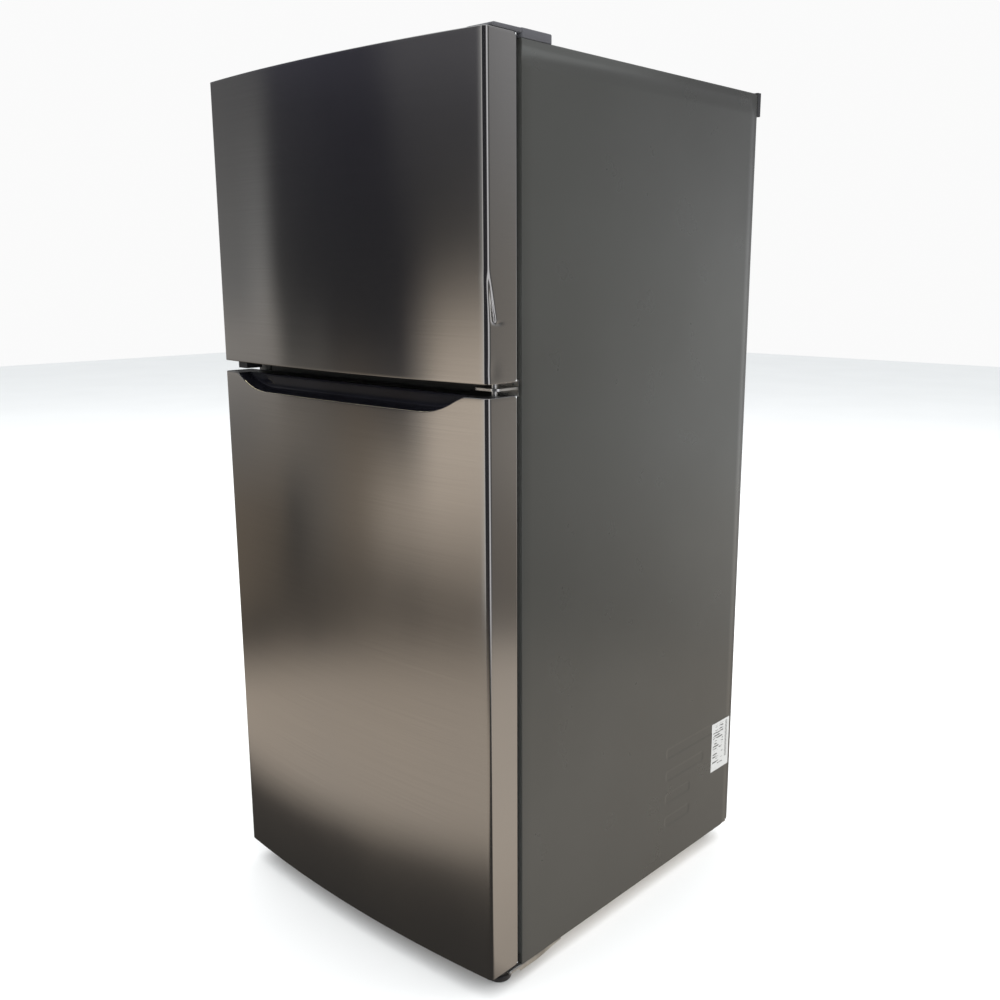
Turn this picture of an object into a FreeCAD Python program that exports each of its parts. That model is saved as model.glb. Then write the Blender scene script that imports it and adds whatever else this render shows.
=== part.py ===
import FreeCAD, Part
import math
import os
import re

import Sketcher

# A refrigerator with its freezer on top. Millimetres, +Z up, the doors face -Y and hinge on the +X side.
# The origin is on the floor, under the middle of the whole appliance.

SIZES = {
    # cabinet
    "case_width": 755, "case_depth": 720, "case_top": 1664, "case_bottom": 38, "shell": 1.2,
    "rear_rail": 12, "rear_rail_drop": 44, "rear_rail_rise": 2,
    "wall_side": 50, "wall_top": 60, "wall_rear": 60, "liner": 2,
    "split": 1118, "mullion": 76, "floor_level": 96,
    "machine_depth": 240, "machine_height": 250, "step_wall": 42,
    "bead": 23, "bead_start": 460, "label_start": 640, "label_end": 712, "label_low": 188, "label_high": 305,
    # doors
    "door_gap": 12, "door_edge": 70, "door_bow": 22, "door_corner": 9, "skin": 1,
    "door_split": 22, "door_rise": 6, "door_bottom": 46.5, "cap": 14, "cap_lip": 1.5,
    "dike_inset": 25, "dike_wall": 18, "dike_reach": 60, "gasket": 14, "seal_inset": 24,
    "running": 0.05, "clearance": 0.5, "seal_gap": 0.3,
    # hinges
    "pin_side": 20.5, "pin_ahead": 45, "pin": 5, "bush": 9,
    "plate": 4, "plate_width": 54, "plate_side": 6, "plate_nose": 12, "plate_tail": 66, "arm_lift": 1.5, "riser": 2,
    "cover_width": 74, "cover_wall": 1.6, "cover_rise": 15, "hood_rise": 13.5, "hood_reach": 70, "tail_reach": 74,
    "hood_nose": 28, "hood_corner": 10,
    # pocket handle
    "pocket_flat": 225, "pocket_drop": 31.7, "pocket_bend": 162, "pocket_slope": 27.5,
    "pocket_wall": 2.5, "pocket_reach": 46,
    # interior
    "ledge": 9, "ledge_thick": 6, "glass": 4, "trim": 12, "shelf_front": 110,
    "shelf_back": 30, "freezer_shelf_back": 100,
    "freezer_shelf_level": 1372, "upper_shelf_level": 860, "middle_shelf_level": 610, "cover_level": 346,
    "drawer_wall": 2.5, "drawer_top": 338, "drawer_front": 137, "drawer_side": 12, "drawer_corner": 10,
    "grip": 40, "grip_depth": 10,
    "bin_wall": 2.5, "bin_corner": 12, "control_height": 30, "control_front": 150, "control_back": 300,
    "control_wall": 4, "dial_x": 60, "dial": 12.5,
    "switch_side": 55, "switch_drop": 29, "plunger": 4, "plunger_length": 32,
    # undercarriage
    "foot": 23, "foot_stem": 5, "foot_ahead": 14, "foot_side": 46.5, "foot_pad": 12,
    "rail_length": 113, "rail_top": 38, "rail_low": 20, "rail_gauge": 3,
    "roller": 18, "roller_width": 14, "roller_side": 52, "roller_back": 44, "axle": 4,
    # machinery
    "compressor": 76, "compressor_height": 158, "compressor_x": 235,
    "coil_tube": 3.5, "coil_pitch": 22, "coil_run": 190,
    "shaft": 3, "hub": 16, "hub_length": 22, "blade_width": 28, "blade_thick": 2, "condenser_fan": 66,
    "evaporator_fan": 56, "fan_rise": 318, "gland": 13,
}

DERIVED = {
    "half": "case_width / 2",
    "front": "(door_gap + door_edge + door_bow - case_depth - rear_rail) / 2",
    "rear": "front + case_depth",
    "room": "half - wall_side",
    "room_rear": "rear - wall_rear",
    "freezer_floor": "split + mullion / 2",
    "freezer_roof": "case_top - wall_top",
    "fridge_roof": "split - mullion / 2",
    "machine_front": "rear - machine_depth",
    "machine_top": "case_bottom + machine_height",
    "step_front": "machine_front - step_wall",
    "step_top": "machine_top + step_wall",
    "door_back": "front - door_gap",
    "door_face": "door_back - door_edge",
    "freezer_low": "split + door_split / 2",
    "freezer_high": "case_top + door_rise",
    "fridge_high": "split - door_split / 2",
    "pin_x": "half - pin_side",
    "pin_y": "front - pin_ahead",
    "bin_half": "room - dike_inset - dike_wall - clearance",
    "foot_x": "half - foot_side",
    "foot_y": "front - foot_ahead",
    "roller_x": "half - roller_side",
    "roller_y": "rear - roller_back",
    "dike_face": "front + dike_reach",
    "arm_level": "freezer_high + arm_lift",
    "machine_middle": "(machine_front + rear) / 2",
}

# Lower edge and length of each stamped bead.
BEADS = ((284, 175), (232, 150), (179, 93), (126, 93))
# Height above the floor of the compartment, height and depth of each door bin.
FREEZER_BINS = ((42, 110, 84), (240, 100, 84))
FRIDGE_BINS = ((42, 150, 84), (380, 110, 96), (700, 100, 96))

WORD = re.compile(r"[a-z][a-z_]*")

doc = FreeCAD.newDocument("refrigerator")
sheet = doc.addObject("Spreadsheet::Sheet", "dims")
for row, (word, number) in enumerate(SIZES.items(), start=1):
    sheet.set(f"A{row}", word)
    sheet.set(f"B{row}", str(number))
    sheet.setAlias(f"B{row}", word)
doc.recompute()

nodes = []


def full(text):
    """A size written in plain names, as an expression in the sheet's cells."""
    text = str(text)
    while any(word in DERIVED for word in WORD.findall(text)):
        text = WORD.sub(lambda found: f"({DERIVED[found[0]]})" if found[0] in DERIVED else found[0], text)
    return WORD.sub(lambda found: f"dims.{found[0]}" if found[0] in SIZES else found[0], text)


def number(text):
    """The present value of a size written in plain names."""
    value = sheet.evalExpression(full(text))
    return float(getattr(value, "Value", value))


def bind(item, **sizes):
    """Ties an object's properties to the sheet."""
    for name, text in sizes.items():
        item.setExpression(name, full(text))
    return item


def put(item, x, y, z):
    """Ties an object's place to the sheet."""
    for axis, text in zip("xyz", (x, y, z)):
        item.setExpression(f"Placement.Base.{axis}", full(text))
    return item


def box(x, y, z):
    """A block between two places along each axis, each given as (low, high)."""
    item = doc.addObject("Part::Box", "block")
    bind(item, Length=f"({x[1]}) - ({x[0]})", Width=f"({y[1]}) - ({y[0]})", Height=f"({z[1]}) - ({z[0]})")
    return put(item, x[0], y[0], z[0])


TURNS = {
    "x": FreeCAD.Rotation(FreeCAD.Vector(0, 1, 0), 90),
    "y": FreeCAD.Rotation(FreeCAD.Vector(1, 0, 0), -90),
    "z": FreeCAD.Rotation(),
}


def rod(x, y, z, radius, length, axis="z"):
    """A cylinder from a place, along one axis."""
    item = doc.addObject("Part::Cylinder", "rod")
    item.Placement = FreeCAD.Placement(FreeCAD.Vector(), TURNS[axis])
    bind(item, Radius=radius, Height=length)
    return put(item, x, y, z)


def fuse(*items):
    """One solid from several."""
    if len(items) == 1:
        return items[0]
    joined = doc.addObject("Part::MultiFuse", "joined")
    joined.Shapes = list(items)
    return joined


def cut(base, *tools):
    """A solid with others taken away."""
    left = doc.addObject("Part::Cut", "left")
    left.Base = base
    left.Tool = fuse(*tools)
    return left


def common(base, tool):
    """What two solids share."""
    shared = doc.addObject("Part::Common", "shared")
    shared.Base = base
    shared.Tool = tool
    return shared


def group(*items):
    """Separate solids kept in one node."""
    together = doc.addObject("Part::Compound", "together")
    together.Links = list(items)
    return together


def rounded(item, radius, chosen):
    """A solid with the edges that a test picks rounded to one radius."""
    doc.recompute()
    edges = item.Shape.Edges
    value = number(radius)
    fillet = doc.addObject("Part::Fillet", "rounded")
    fillet.Base = item
    fillet.Edges = [(i, value, value) for i, edge in enumerate(edges, start=1) if chosen(edge)]
    return fillet


def upright(edge):
    """True for a straight edge along Z."""
    if len(edge.Vertexes) != 2:
        return False
    low, high = (vertex.Point for vertex in edge.Vertexes)
    return abs(high.z - low.z) > 1 and math.hypot(high.x - low.x, high.y - low.y) < 1e-6


def upright_at(x_from, y_to):
    """A test for upright edges further out than x_from and no further back than y_to."""
    return lambda edge: (upright(edge) and abs(edge.Vertexes[0].Point.x) > x_from
                         and edge.Vertexes[0].Point.y < y_to)


def node(item, name):
    """Names a finished sub-part."""
    item.Label = name
    nodes.append(item)
    return item


def origin_plane(body, role):
    """One of the body's own origin planes."""
    return next(plane for plane in body.Origin.OriginFeatures if plane.Role == role)


def arc_between(start, end, radius):
    """An arc from start to end that turns left for a positive radius and right for a negative one,
    and whether it runs backwards, because a sketch's arcs always turn left."""
    chord = end - start
    rise = math.sqrt(radius * radius - chord.Length ** 2 / 4)
    side = FreeCAD.Vector(-chord.y, chord.x, 0).normalize() * math.copysign(rise, radius)
    centre = (start + end) / 2 + side
    first, last = (start, end) if radius > 0 else (end, start)
    angles = [math.atan2(point.y - centre.y, point.x - centre.x) for point in (first, last)]
    if angles[1] < angles[0]:
        angles[1] += 2 * math.pi
    circle = Part.Circle(centre, FreeCAD.Vector(0, 0, 1), abs(radius))
    return Part.ArcOfCircle(circle, angles[0], angles[1]), radius < 0


def outline(body, role, level, corners):
    """A closed sketch. Each corner is (x, y), or (x, y, radius) where an arc leads on from it."""
    sketch = body.newObject("Sketcher::SketchObject", "outline")
    sketch.AttachmentSupport = [(origin_plane(body, role), "")]
    sketch.MapMode = "FlatFace"
    sketch.setExpression("AttachmentOffset.Base.z", full(level))
    points = [FreeCAD.Vector(number(corner[0]), number(corner[1]), 0) for corner in corners]
    ends = []
    for i, corner in enumerate(corners):
        start, end = points[i], points[(i + 1) % len(points)]
        backwards = False
        if len(corner) == 3:
            edge, backwards = arc_between(start, end, number(corner[2]))
        else:
            edge = Part.LineSegment(start, end)
        index = sketch.addGeometry(edge, False)
        ends.append((index, 2, 1) if backwards else (index, 1, 2))
    for i, corner in enumerate(corners):
        index, begin, _ = ends[i]
        last, _, finish = ends[i - 1]
        sketch.addConstraint(Sketcher.Constraint("Coincident", last, finish, index, begin))
        across = ("DistanceX", points[i].x, corner[0])
        for kind, value, text in (across, ("DistanceY", points[i].y, corner[1])):
            held = sketch.addConstraint(Sketcher.Constraint(kind, -1, 1, index, begin, value))
            sketch.setExpression(f"Constraints[{held}]", full(text))
        if len(corner) == 3:
            radius = abs(number(corner[2]))
            held = sketch.addConstraint(Sketcher.Constraint("Radius", index, radius))
            sketch.setExpression(f"Constraints[{held}]", full(f"abs({corner[2]})"))
    return sketch


def pad(body, sketch, length, midplane=False, reverse=False):
    """Adds a sketch's prism to a body."""
    feature = body.newObject("PartDesign::Pad", "pad")
    feature.Profile = sketch
    feature.Midplane = midplane
    feature.Reversed = reverse
    return bind(feature, Length=length)


def new_body():
    """An empty body."""
    return doc.addObject("PartDesign::Body", "body")


# ---------------------------------------------------------------- cabinet

def room(low, high, grow):
    """The freezer's or refrigerator's space, larger by grow on every side but its open front."""
    return box((f"-room - {grow}", f"room + {grow}"), ("front", f"room_rear + {grow}"),
               (f"{low} - {grow}", f"{high} + {grow}"))


def fridge_room(grow):
    """The refrigerator's space, which steps forward over the machine compartment."""
    step = box(("-half", "half"), (f"step_front + {grow}", "rear"), ("0", f"step_top - {grow}"))
    return cut(room("floor_level", "fridge_roof", grow), step)


def ledges(level, low_y, high_y):
    """A pair of ribs on the side walls, under a shelf."""
    return [box(x, (low_y, high_y), (f"{level} - ledge_thick", level))
            for x in (("-room", "-room + ledge"), ("room - ledge", "room"))]


def cabinet_shell():
    """The painted wrap: top, sides and the turned-in front flange, with stamped beads low on the side."""
    outer = box(("-half", "half"), ("front", "rear"), ("case_bottom", "case_top"))
    inner = box(("-half + shell", "half - shell"), ("front + shell", "rear + 1"),
                ("case_bottom - 1", "case_top - shell"))
    mouth = box(("-room - liner", "room + liner"), ("front - 1", "front + shell + 1"),
                ("case_bottom - 1", "freezer_roof + liner"))
    start = "front + bead_start"
    beads = [box((side, f"{side} + 1 + shell / 2"), (start, f"{start} + {reach}"), (low, f"{low} + bead"))
             for low, reach in BEADS for side in ("-half - 1", "half - shell / 2")]
    shell = cut(outer, inner, mouth, label_block("half + 1"), *beads)
    return node(shell, "cabinet_shell")


def label_block(outside):
    """The space of the paper label, sunk a little in the side sheet."""
    return box(("half - shell / 4", outside), ("front + label_start", "front + label_end"),
               ("label_low", "label_high"))


def side_label():
    return node(label_block("half"), "side_label")


def bottom_pan():
    """The sheet under the cabinet, which rises over the machine compartment."""
    body = new_body()
    lip = "floor_level - liner"
    corners = [("front", "case_bottom"), ("machine_front", "case_bottom"), ("machine_front", "machine_top"),
               ("rear - shell", "machine_top"), ("rear - shell", "machine_top + shell"),
               ("machine_front - shell", "machine_top + shell"),
               ("machine_front - shell", "case_bottom + shell"), ("front + shell", "case_bottom + shell"),
               ("front + shell", lip), ("front", lip)]
    pad(body, outline(body, "YZ_Plane", "0", corners), "case_width - 2 * shell", midplane=True)
    flanges = [box(x, ("front - 1", "front + shell"), ("case_bottom - 1", f"{lip} + 1"))
               for x in (("-half", "-room - liner"), ("room + liner", "half"))]
    return node(cut(body, *flanges), "bottom_pan")


def insulation():
    """The foam between the shell and the liners."""
    block = box(("-half + shell", "half - shell"), ("front + shell", "rear - shell"),
                ("case_bottom + shell", "case_top - shell"))
    machine = box(("-half", "half"), ("machine_front - shell", "rear"), ("0", "machine_top + shell"))
    return node(cut(block, machine, room("freezer_floor", "freezer_roof", "liner"), fridge_room("liner")),
                "cabinet_insulation")


def freezer_liner():
    shell = cut(room("freezer_floor", "freezer_roof", "liner"), room("freezer_floor", "freezer_roof", "0"))
    ribs = ledges("freezer_shelf_level", "front + shelf_front", "room_rear - freezer_shelf_back")
    return node(fuse(shell, *ribs), "freezer_liner")


def fridge_liner():
    shell = cut(fridge_room("liner"), fridge_room("0"))
    ribs = []
    for level in ("upper_shelf_level", "middle_shelf_level", "cover_level"):
        ribs += ledges(level, "front + shelf_front", "room_rear - shelf_back")
    return node(fuse(shell, *ribs), "refrigerator_liner")


def mullion_trim():
    """The metal strip between the two compartments, where both gaskets land."""
    trim = box(("-room - liner", "room + liner"), ("front", "front + shell"),
               ("fridge_roof + liner", "freezer_floor - liner"))
    return node(trim, "mullion_trim")


def rear_panel():
    sheet_metal = box(("-half + shell", "half - shell"), ("rear - shell", "rear"),
                      ("machine_top", "case_top - shell"))
    return node(sheet_metal, "rear_panel")


def rear_top_rail():
    """The plastic rail that spaces the cabinet off a wall, hollow at the back between its webs."""
    low, high = "case_top - rear_rail_drop", "case_top + rear_rail_rise"
    cells, wall = 8, 3
    bar = box(("-half", "half"), ("rear", "rear + rear_rail"), (low, high))
    cell = f"case_width / {cells}"
    hollows = [box((f"-half + {wall} + {i} * {cell}", f"-half - {wall} + {i + 1} * {cell}"),
                   (f"rear + {wall}", "rear + rear_rail + 1"), (f"{low} + {wall}", f"{high} - {wall}"))
               for i in range(cells)]
    return node(cut(bar, *hollows), "rear_top_rail")


def machine_cover():
    """The fibre board over the machine compartment, with rows of air slots."""
    board = box(("-half + shell", "half - shell"), ("rear - 3", "rear"), ("case_bottom + 4", "machine_top"))
    width, height = 60, 7
    slots = [box((x, x + width), ("rear - 4", "rear + 1"), (z, z + height))
             for x in range(-330, 0, 80) for z in range(90, 240, 22)]
    return node(cut(board, *slots), "machine_cover")


for build in (cabinet_shell, side_label, bottom_pan, insulation, freezer_liner, fridge_liner, mullion_trim,
              rear_panel, rear_top_rail, machine_cover):
    build()


# ---------------------------------------------------------------- doors

def bow_radius(inset):
    """The radius of the door's bowed face, less an inset."""
    return f"((half * half + door_bow * door_bow) / (2 * door_bow) - ({inset}))"


def door_block(low, high, inset, back):
    """An upright prism with the door's bowed plan, smaller by inset at its front and sides."""
    body = new_body()
    side = f"half - ({inset})"
    shoulder = f"door_face + ({inset})"
    sketch = outline(body, "XY_Plane", low, [
        (f"-({side})", shoulder, bow_radius(inset)), (side, shoulder), (side, back), (f"-({side})", back)])
    pad(body, sketch, f"({high}) - ({low})")
    radius = f"door_corner - ({inset})"
    if number(radius) > 0.5:
        body_round = body.newObject("PartDesign::Fillet", "corners")
        doc.recompute()
        previous = body_round.Base[0] if body_round.Base else body.Group[-2]
        test = upright_at(number(side) - 0.1, number("door_face + door_bow"))
        names = [f"Edge{i}" for i, edge in enumerate(previous.Shape.Edges, start=1) if test(edge)]
        body_round.Base = (previous, names)
        bind(body_round, Radius=radius)
        body.Tip = body_round
    return body


def smile(grow):
    """The pocket handle's outline from the front, as a prism that runs right through the door."""
    body = new_body()
    flat, bend = "pocket_flat", f"(pocket_bend + ({grow}))"
    low = f"fridge_high - pocket_drop - ({grow})"
    out = f"{flat} + {bend} * sin(pocket_slope)"
    up = f"{low} + {bend} * (1 - cos(pocket_slope))"
    rim = "fridge_high + 5"
    wide = f"{out} + ({rim} - ({up})) / tan(pocket_slope)"
    sketch = outline(body, "XZ_Plane", "0", [
        (f"-({flat})", low), (flat, low, bend), (out, up), (wide, rim), (f"-({wide})", rim),
        (f"-({out})", up, bend)])
    pad(body, sketch, "-front + door_gap + door_edge + door_bow + 20")
    return body


def pocket_space(grow):
    """The part of the door that the pocket handle fills, larger by grow."""
    behind = f"door_face - door_bow + pocket_reach + ({grow})"
    zone = box(("-half", "half"), ("door_face - 2 * door_bow", behind),
               ("fridge_high - 100", "fridge_high + 9"))
    return common(smile(grow), zone)


def door_skin(low, high, name, pierce=()):
    outer = door_block(f"{low} + cap_lip", f"{high} - cap_lip", "0", "door_back")
    inner = door_block(f"{low}", f"{high}", "skin", "door_back + 1")
    return node(cut(outer, inner, *pierce), name)


def door_cap(low, high, rim, name, pierce=()):
    """A plastic end cap: a plug inside the skin and a lip over its edge, bored for the hinge bush."""
    plug = door_block(low, high, "skin", "door_back - liner")
    lip = door_block(rim[0], rim[1], "0", "door_back")
    bore = rod("pin_x", "pin_y", f"{low} - 5", "bush", "cap + 10")
    return node(cut(fuse(plug, lip), bore, *pierce), name)


def ring(half_width, low, high, width, y):
    """An upright rectangular frame."""
    outside = box((f"-({half_width})", half_width), y, (low, high))
    inside = box((f"-({half_width}) + {width}", f"({half_width}) - {width}"), (f"{y[0]} - 1", f"{y[1]} + 1"),
                 (f"{low} + {width}", f"{high} - {width}"))
    return cut(outside, inside)


def door_liner(low, high, dike_low, dike_high, name):
    """The inner panel, with a raised frame that carries the bins."""
    plate = box(("-half + skin", "half - skin"), ("door_back - liner", "door_back"), (low, high))
    dike = ring("room - dike_inset", dike_low, dike_high, "dike_wall", ("door_back", "dike_face"))
    return node(fuse(plate, dike), name)


def door_gasket(low, high, name):
    """The magnetic seal, a hair clear of the cabinet's flange."""
    return node(ring("half - seal_inset", low, high, "gasket", ("door_back", "front - seal_gap")), name)


def door_bin(low, height, depth):
    """An open bin between the raised sides of the door's inner panel."""
    outer = box(("-bin_half", "bin_half"), ("door_back + clearance", f"front + {depth}"),
                (low, f"{low} + {height}"))
    inner = box(("-bin_half + bin_wall", "bin_half - bin_wall"),
                ("door_back + clearance + bin_wall", f"front + {depth} - bin_wall"),
                (f"{low} + bin_wall", f"{low} + {height} + 1"))
    rear = lambda edge: upright(edge) and edge.Vertexes[0].Point.y > number("front")
    return cut(rounded(outer, "bin_corner", rear), rounded(inner, "bin_corner - bin_wall", rear))


def door_bins(floor, bins, name):
    return node(group(*(door_bin(f"{floor} + {low}", height, depth) for low, height, depth in bins)), name)


def bushings(levels, name):
    """The bearing sleeves that turn on the hinge pins."""
    sleeves = []
    for low, high in levels:
        length = f"({high}) - ({low})"
        bore = rod("pin_x", "pin_y", f"{low} - 1", "pin + running", f"{length} + 2")
        sleeves.append(cut(rod("pin_x", "pin_y", low, "bush", length), bore))
    return node(group(*sleeves), name)


def freezer_door():
    low, high = "freezer_low", "freezer_high"
    door_skin(low, high, "freezer_door_skin")
    door_cap(f"{high} - cap", high, (f"{high} - cap_lip", high), "freezer_door_top_cap")
    door_cap(low, f"{low} + cap", (low, f"{low} + cap_lip"), "freezer_door_bottom_cap")
    node(door_block(f"{low} + cap", f"{high} - cap", "skin", "door_back - liner"), "freezer_door_insulation")
    door_liner(f"{low} + cap_lip", f"{high} - cap_lip", "freezer_floor + 20", "freezer_roof - 20",
               "freezer_door_liner")
    door_gasket(f"{low} + 8", "case_top - 8", "freezer_door_gasket")
    door_bins("freezer_floor", FREEZER_BINS, "freezer_door_bins")
    bushings([(low, f"{low} + cap"), (f"{high} - cap", high)], "freezer_door_bushings")
    stop = box(("-half + 38", "-half + 67"), ("door_face + 8", "door_face + 44"), (f"{low} - 14", low))
    node(stop, "freezer_door_stop")


def fridge_door():
    low, high = "door_bottom", "fridge_high"
    door_skin(low, high, "refrigerator_door_skin", [pocket_space("0")])
    door_cap(f"{high} - cap", high, (f"{high} - cap_lip", high), "refrigerator_door_top_cap",
             [pocket_space("0")])
    door_cap(low, f"{low} + cap", (low, f"{low} + cap_lip"), "refrigerator_door_bottom_cap")
    foam = door_block(f"{low} + cap", f"{high} - cap", "skin", "door_back - liner")
    node(cut(foam, pocket_space("0")), "refrigerator_door_insulation")
    door_liner(f"{low} + cap_lip", f"{high} - cap_lip", "floor_level + 20", "fridge_roof - 20",
               "refrigerator_door_liner")
    door_gasket("door_bottom + 14", f"{high} - 8", "refrigerator_door_gasket")
    door_bins("floor_level", FRIDGE_BINS, "refrigerator_door_bins")
    bushings([(low, f"{low} + cap"), (f"{high} - cap", high)], "refrigerator_door_bushings")


def pocket_handle():
    """The moulded scoop in the top of the refrigerator door."""
    whole = common(pocket_space("0"), door_block("fridge_high - 90", "fridge_high", "0", "door_back"))
    return node(cut(whole, pocket_space("-pocket_wall")), "pocket_handle")


freezer_door()
fridge_door()
pocket_handle()


# ---------------------------------------------------------------- hinges and feet

def pin_at(low, high):
    return rod("pin_x", "pin_y", low, "pin", f"({high}) - ({low})")


PLATE_SPAN = ("half - plate_side - plate_width", "half - plate_side")


def hinge_arm(low):
    """A flat arm with a rounded nose, from the cabinet's front out past the pin."""
    arm = box(PLATE_SPAN, ("front - pin_ahead - plate_nose", "front"), (low, f"{low} + plate"))
    front = lambda edge: upright(edge) and edge.Vertexes[0].Point.y < number("pin_y")
    return rounded(arm, "plate_nose", front)


def top_hinge():
    """An arm over the freezer door, a riser behind the cabinet's edge and a plate screwed to the top."""
    riser = ("front + riser", "front + riser + plate")
    return node(fuse(hinge_arm("arm_level"),
                     box(PLATE_SPAN, ("front - 1", riser[1]), ("arm_level", "arm_level + plate")),
                     box(PLATE_SPAN, riser, ("case_top", "arm_level + plate")),
                     box(PLATE_SPAN, (riser[0], "front + plate_tail"), ("case_top", "case_top + plate")),
                     pin_at("freezer_high - cap + 1", "arm_level")), "top_hinge")


def middle_hinge():
    """An arm between the doors with a pin up and a pin down, on a flange across the mullion."""
    level = "split - plate / 2"
    flange = box(PLATE_SPAN, ("front - 3", "front"), ("split - 14", "split + 14"))
    return node(fuse(hinge_arm(level), flange,
                     pin_at("fridge_high - cap + 1", level),
                     pin_at("split + plate / 2", "freezer_low + cap - 1")), "middle_hinge")


def lower_hinge():
    """An arm under the refrigerator door, which the foot's stem passes through."""
    flange = box(PLATE_SPAN, ("front - 3", "front"), ("rail_top", "rail_top + 18"))
    arm = fuse(hinge_arm("rail_top"), flange, pin_at("rail_top + plate", "door_bottom + cap - 1"))
    hole = rod("foot_x", "foot_y", "rail_top - 1", "foot_stem + running", "plate + 2")
    return node(cut(arm, hole), "lower_hinge")


def round_nosed(block, inset):
    """A block whose front upright edges are rounded, more on the side away from the door's corner."""
    def nose(outer):
        return lambda edge: (upright(edge) and edge.Vertexes[0].Point.y < number("pin_y")
                             and (edge.Vertexes[0].Point.x > number("pin_x")) == outer)

    broad = rounded(block, f"hood_nose - {inset}", nose(False))
    return rounded(broad, f"hood_corner - {inset}", nose(True))


def hinge_cover():
    """The moulded cover over the top hinge: a box on the cabinet and a round-nosed hood over the door."""
    side = ("half - cover_width", "half - 0.5")
    inside = (f"{side[0]} + cover_wall", f"{side[1]} - cover_wall")
    roof, hood_roof, underside = "case_top + cover_rise", "case_top + hood_rise", "freezer_high + 1"
    tail = box(side, ("front", "front + tail_reach"), ("case_top", roof))
    hood = round_nosed(box(side, ("front - hood_reach", "front"), (underside, hood_roof)), "0")
    hollow_tail = box(inside, ("front + cover_wall", "front + tail_reach - cover_wall"),
                      ("case_top - 1", f"{roof} - cover_wall"))
    hollow_hood = box(inside, ("front - hood_reach + cover_wall", "front + cover_wall + 1"),
                      (f"{underside} - 1", f"{hood_roof} - cover_wall"))
    hollow = (hollow_tail, round_nosed(hollow_hood, "cover_wall"))
    return node(cut(fuse(tail, hood), *hollow), "top_hinge_cover")


def hinge_screws():
    """Screw heads and shanks that hold the three hinges."""
    screws = []
    for step in (14, 40):
        x = f"half - plate_side - {step}"
        screws.append(rod(x, "front + 34", "case_top + plate", 5.5, 3))
        for level in ("split + 8", "rail_top + 11"):
            screws.append(rod(x, "front - 6", level, 4, 3, "y"))
    return node(group(*screws), "hinge_screws")


def base_rails():
    """Galvanised brackets under the front corners. Each has a tab ahead of the cabinet for a foot."""
    brackets = []
    for sign in (-1, 1):
        across = sorted((f"{sign} * (half - 1)", f"{sign} * (half - 62)"), key=number)
        wall = sorted((f"{sign} * (half - 1)", f"{sign} * (half - 1 - rail_gauge)"), key=number)
        plate = box(across, ("front - 34", "front + rail_length"), ("rail_top - rail_gauge", "rail_top"))
        fin = box(wall, ("front - 3", "front + rail_length"), ("rail_low", "rail_top - rail_gauge"))
        hole = rod(f"{sign} * foot_x", "foot_y", "rail_top - 10", "foot_stem + running", 20)
        brackets.append(cut(fuse(plate, fin), hole))
    return node(group(*brackets), "base_rails")


def feet():
    """Levelling feet on threaded stems."""
    for side, sign in (("left", "-"), ("right", "")):
        disc = rod(f"{sign}foot_x", "foot_y", 0, "foot", "foot_pad")
        soft = rounded(disc, "3", lambda edge: len(edge.Vertexes) == 1)
        stem = rod(f"{sign}foot_x", "foot_y", "foot_pad - 1", "foot_stem", "rail_top - foot_pad + 3")
        flats = box((f"{sign}foot_x - 8", f"{sign}foot_x + 8"), ("foot_y - 8", "foot_y + 8"),
                    ("foot_pad", "foot_pad + 6"))
        node(fuse(soft, stem, flats), f"levelling_foot_{side}")


def rollers():
    """Rear rollers, each on an axle in a fork under the machine compartment."""
    for side, sign in (("left", "-"), ("right", "")):
        x = f"{sign}roller_x"
        low = f"{x} - roller_width / 2"
        wheel = rounded(rod(low, "roller_y", "roller", "roller", "roller_width", "x"), "2",
                        lambda edge: len(edge.Vertexes) == 1)
        bore = rod(f"{low} - 1", "roller_y", "roller", "axle + running", "roller_width + 2", "x")
        node(cut(wheel, bore), f"rear_roller_{side}")


def roller_forks():
    """Two forks with their fixed axles, welded under the machine tray."""
    parts = []
    gap = "roller_width / 2 + clearance"
    for sign in (-1, 1):
        x = f"{sign} * roller_x"
        for low in (f"{x} - ({gap}) - 3", f"{x} + {gap}"):
            parts.append(box((low, f"{low} + 3"), ("roller_y - 12", "roller_y + 12"),
                             ("roller - 8", "case_bottom + 1")))
        parts.append(rod(f"{x} - ({gap}) - 3", "roller_y", "roller", "axle", f"2 * ({gap}) + 6", "x"))
    return parts


for build in (top_hinge, middle_hinge, lower_hinge, hinge_cover, hinge_screws, base_rails, feet, rollers):
    build()


# ---------------------------------------------------------------- interior

def shelf(level, rear_y="room_rear - shelf_back"):
    """A glass pane, and the plastic nosing along its front."""
    side = "room - clearance"
    front_y = "front + shelf_front"
    pane = box((f"-({side})", side), (f"{front_y} + trim", rear_y), (level, f"{level} + glass"))
    bar = box((f"-({side})", side), (front_y, f"{front_y} + 2 * trim"), (level, f"{level} + glass + 3"))
    groove = box(("-half", "half"), (f"{front_y} + trim", f"{front_y} + 3 * trim"),
                 (level, f"{level} + glass"))
    return pane, cut(bar, groove)


def shelves():
    """The freezer's shelf, the refrigerator's two shelves and the cover over its drawers."""
    pairs = [shelf("freezer_shelf_level", "room_rear - freezer_shelf_back"), shelf("upper_shelf_level"),
             shelf("middle_shelf_level"), shelf("cover_level")]
    node(group(*(pane for pane, _ in pairs)), "glass_shelves")
    node(group(*(nosing for _, nosing in pairs)), "shelf_nosings")


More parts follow.
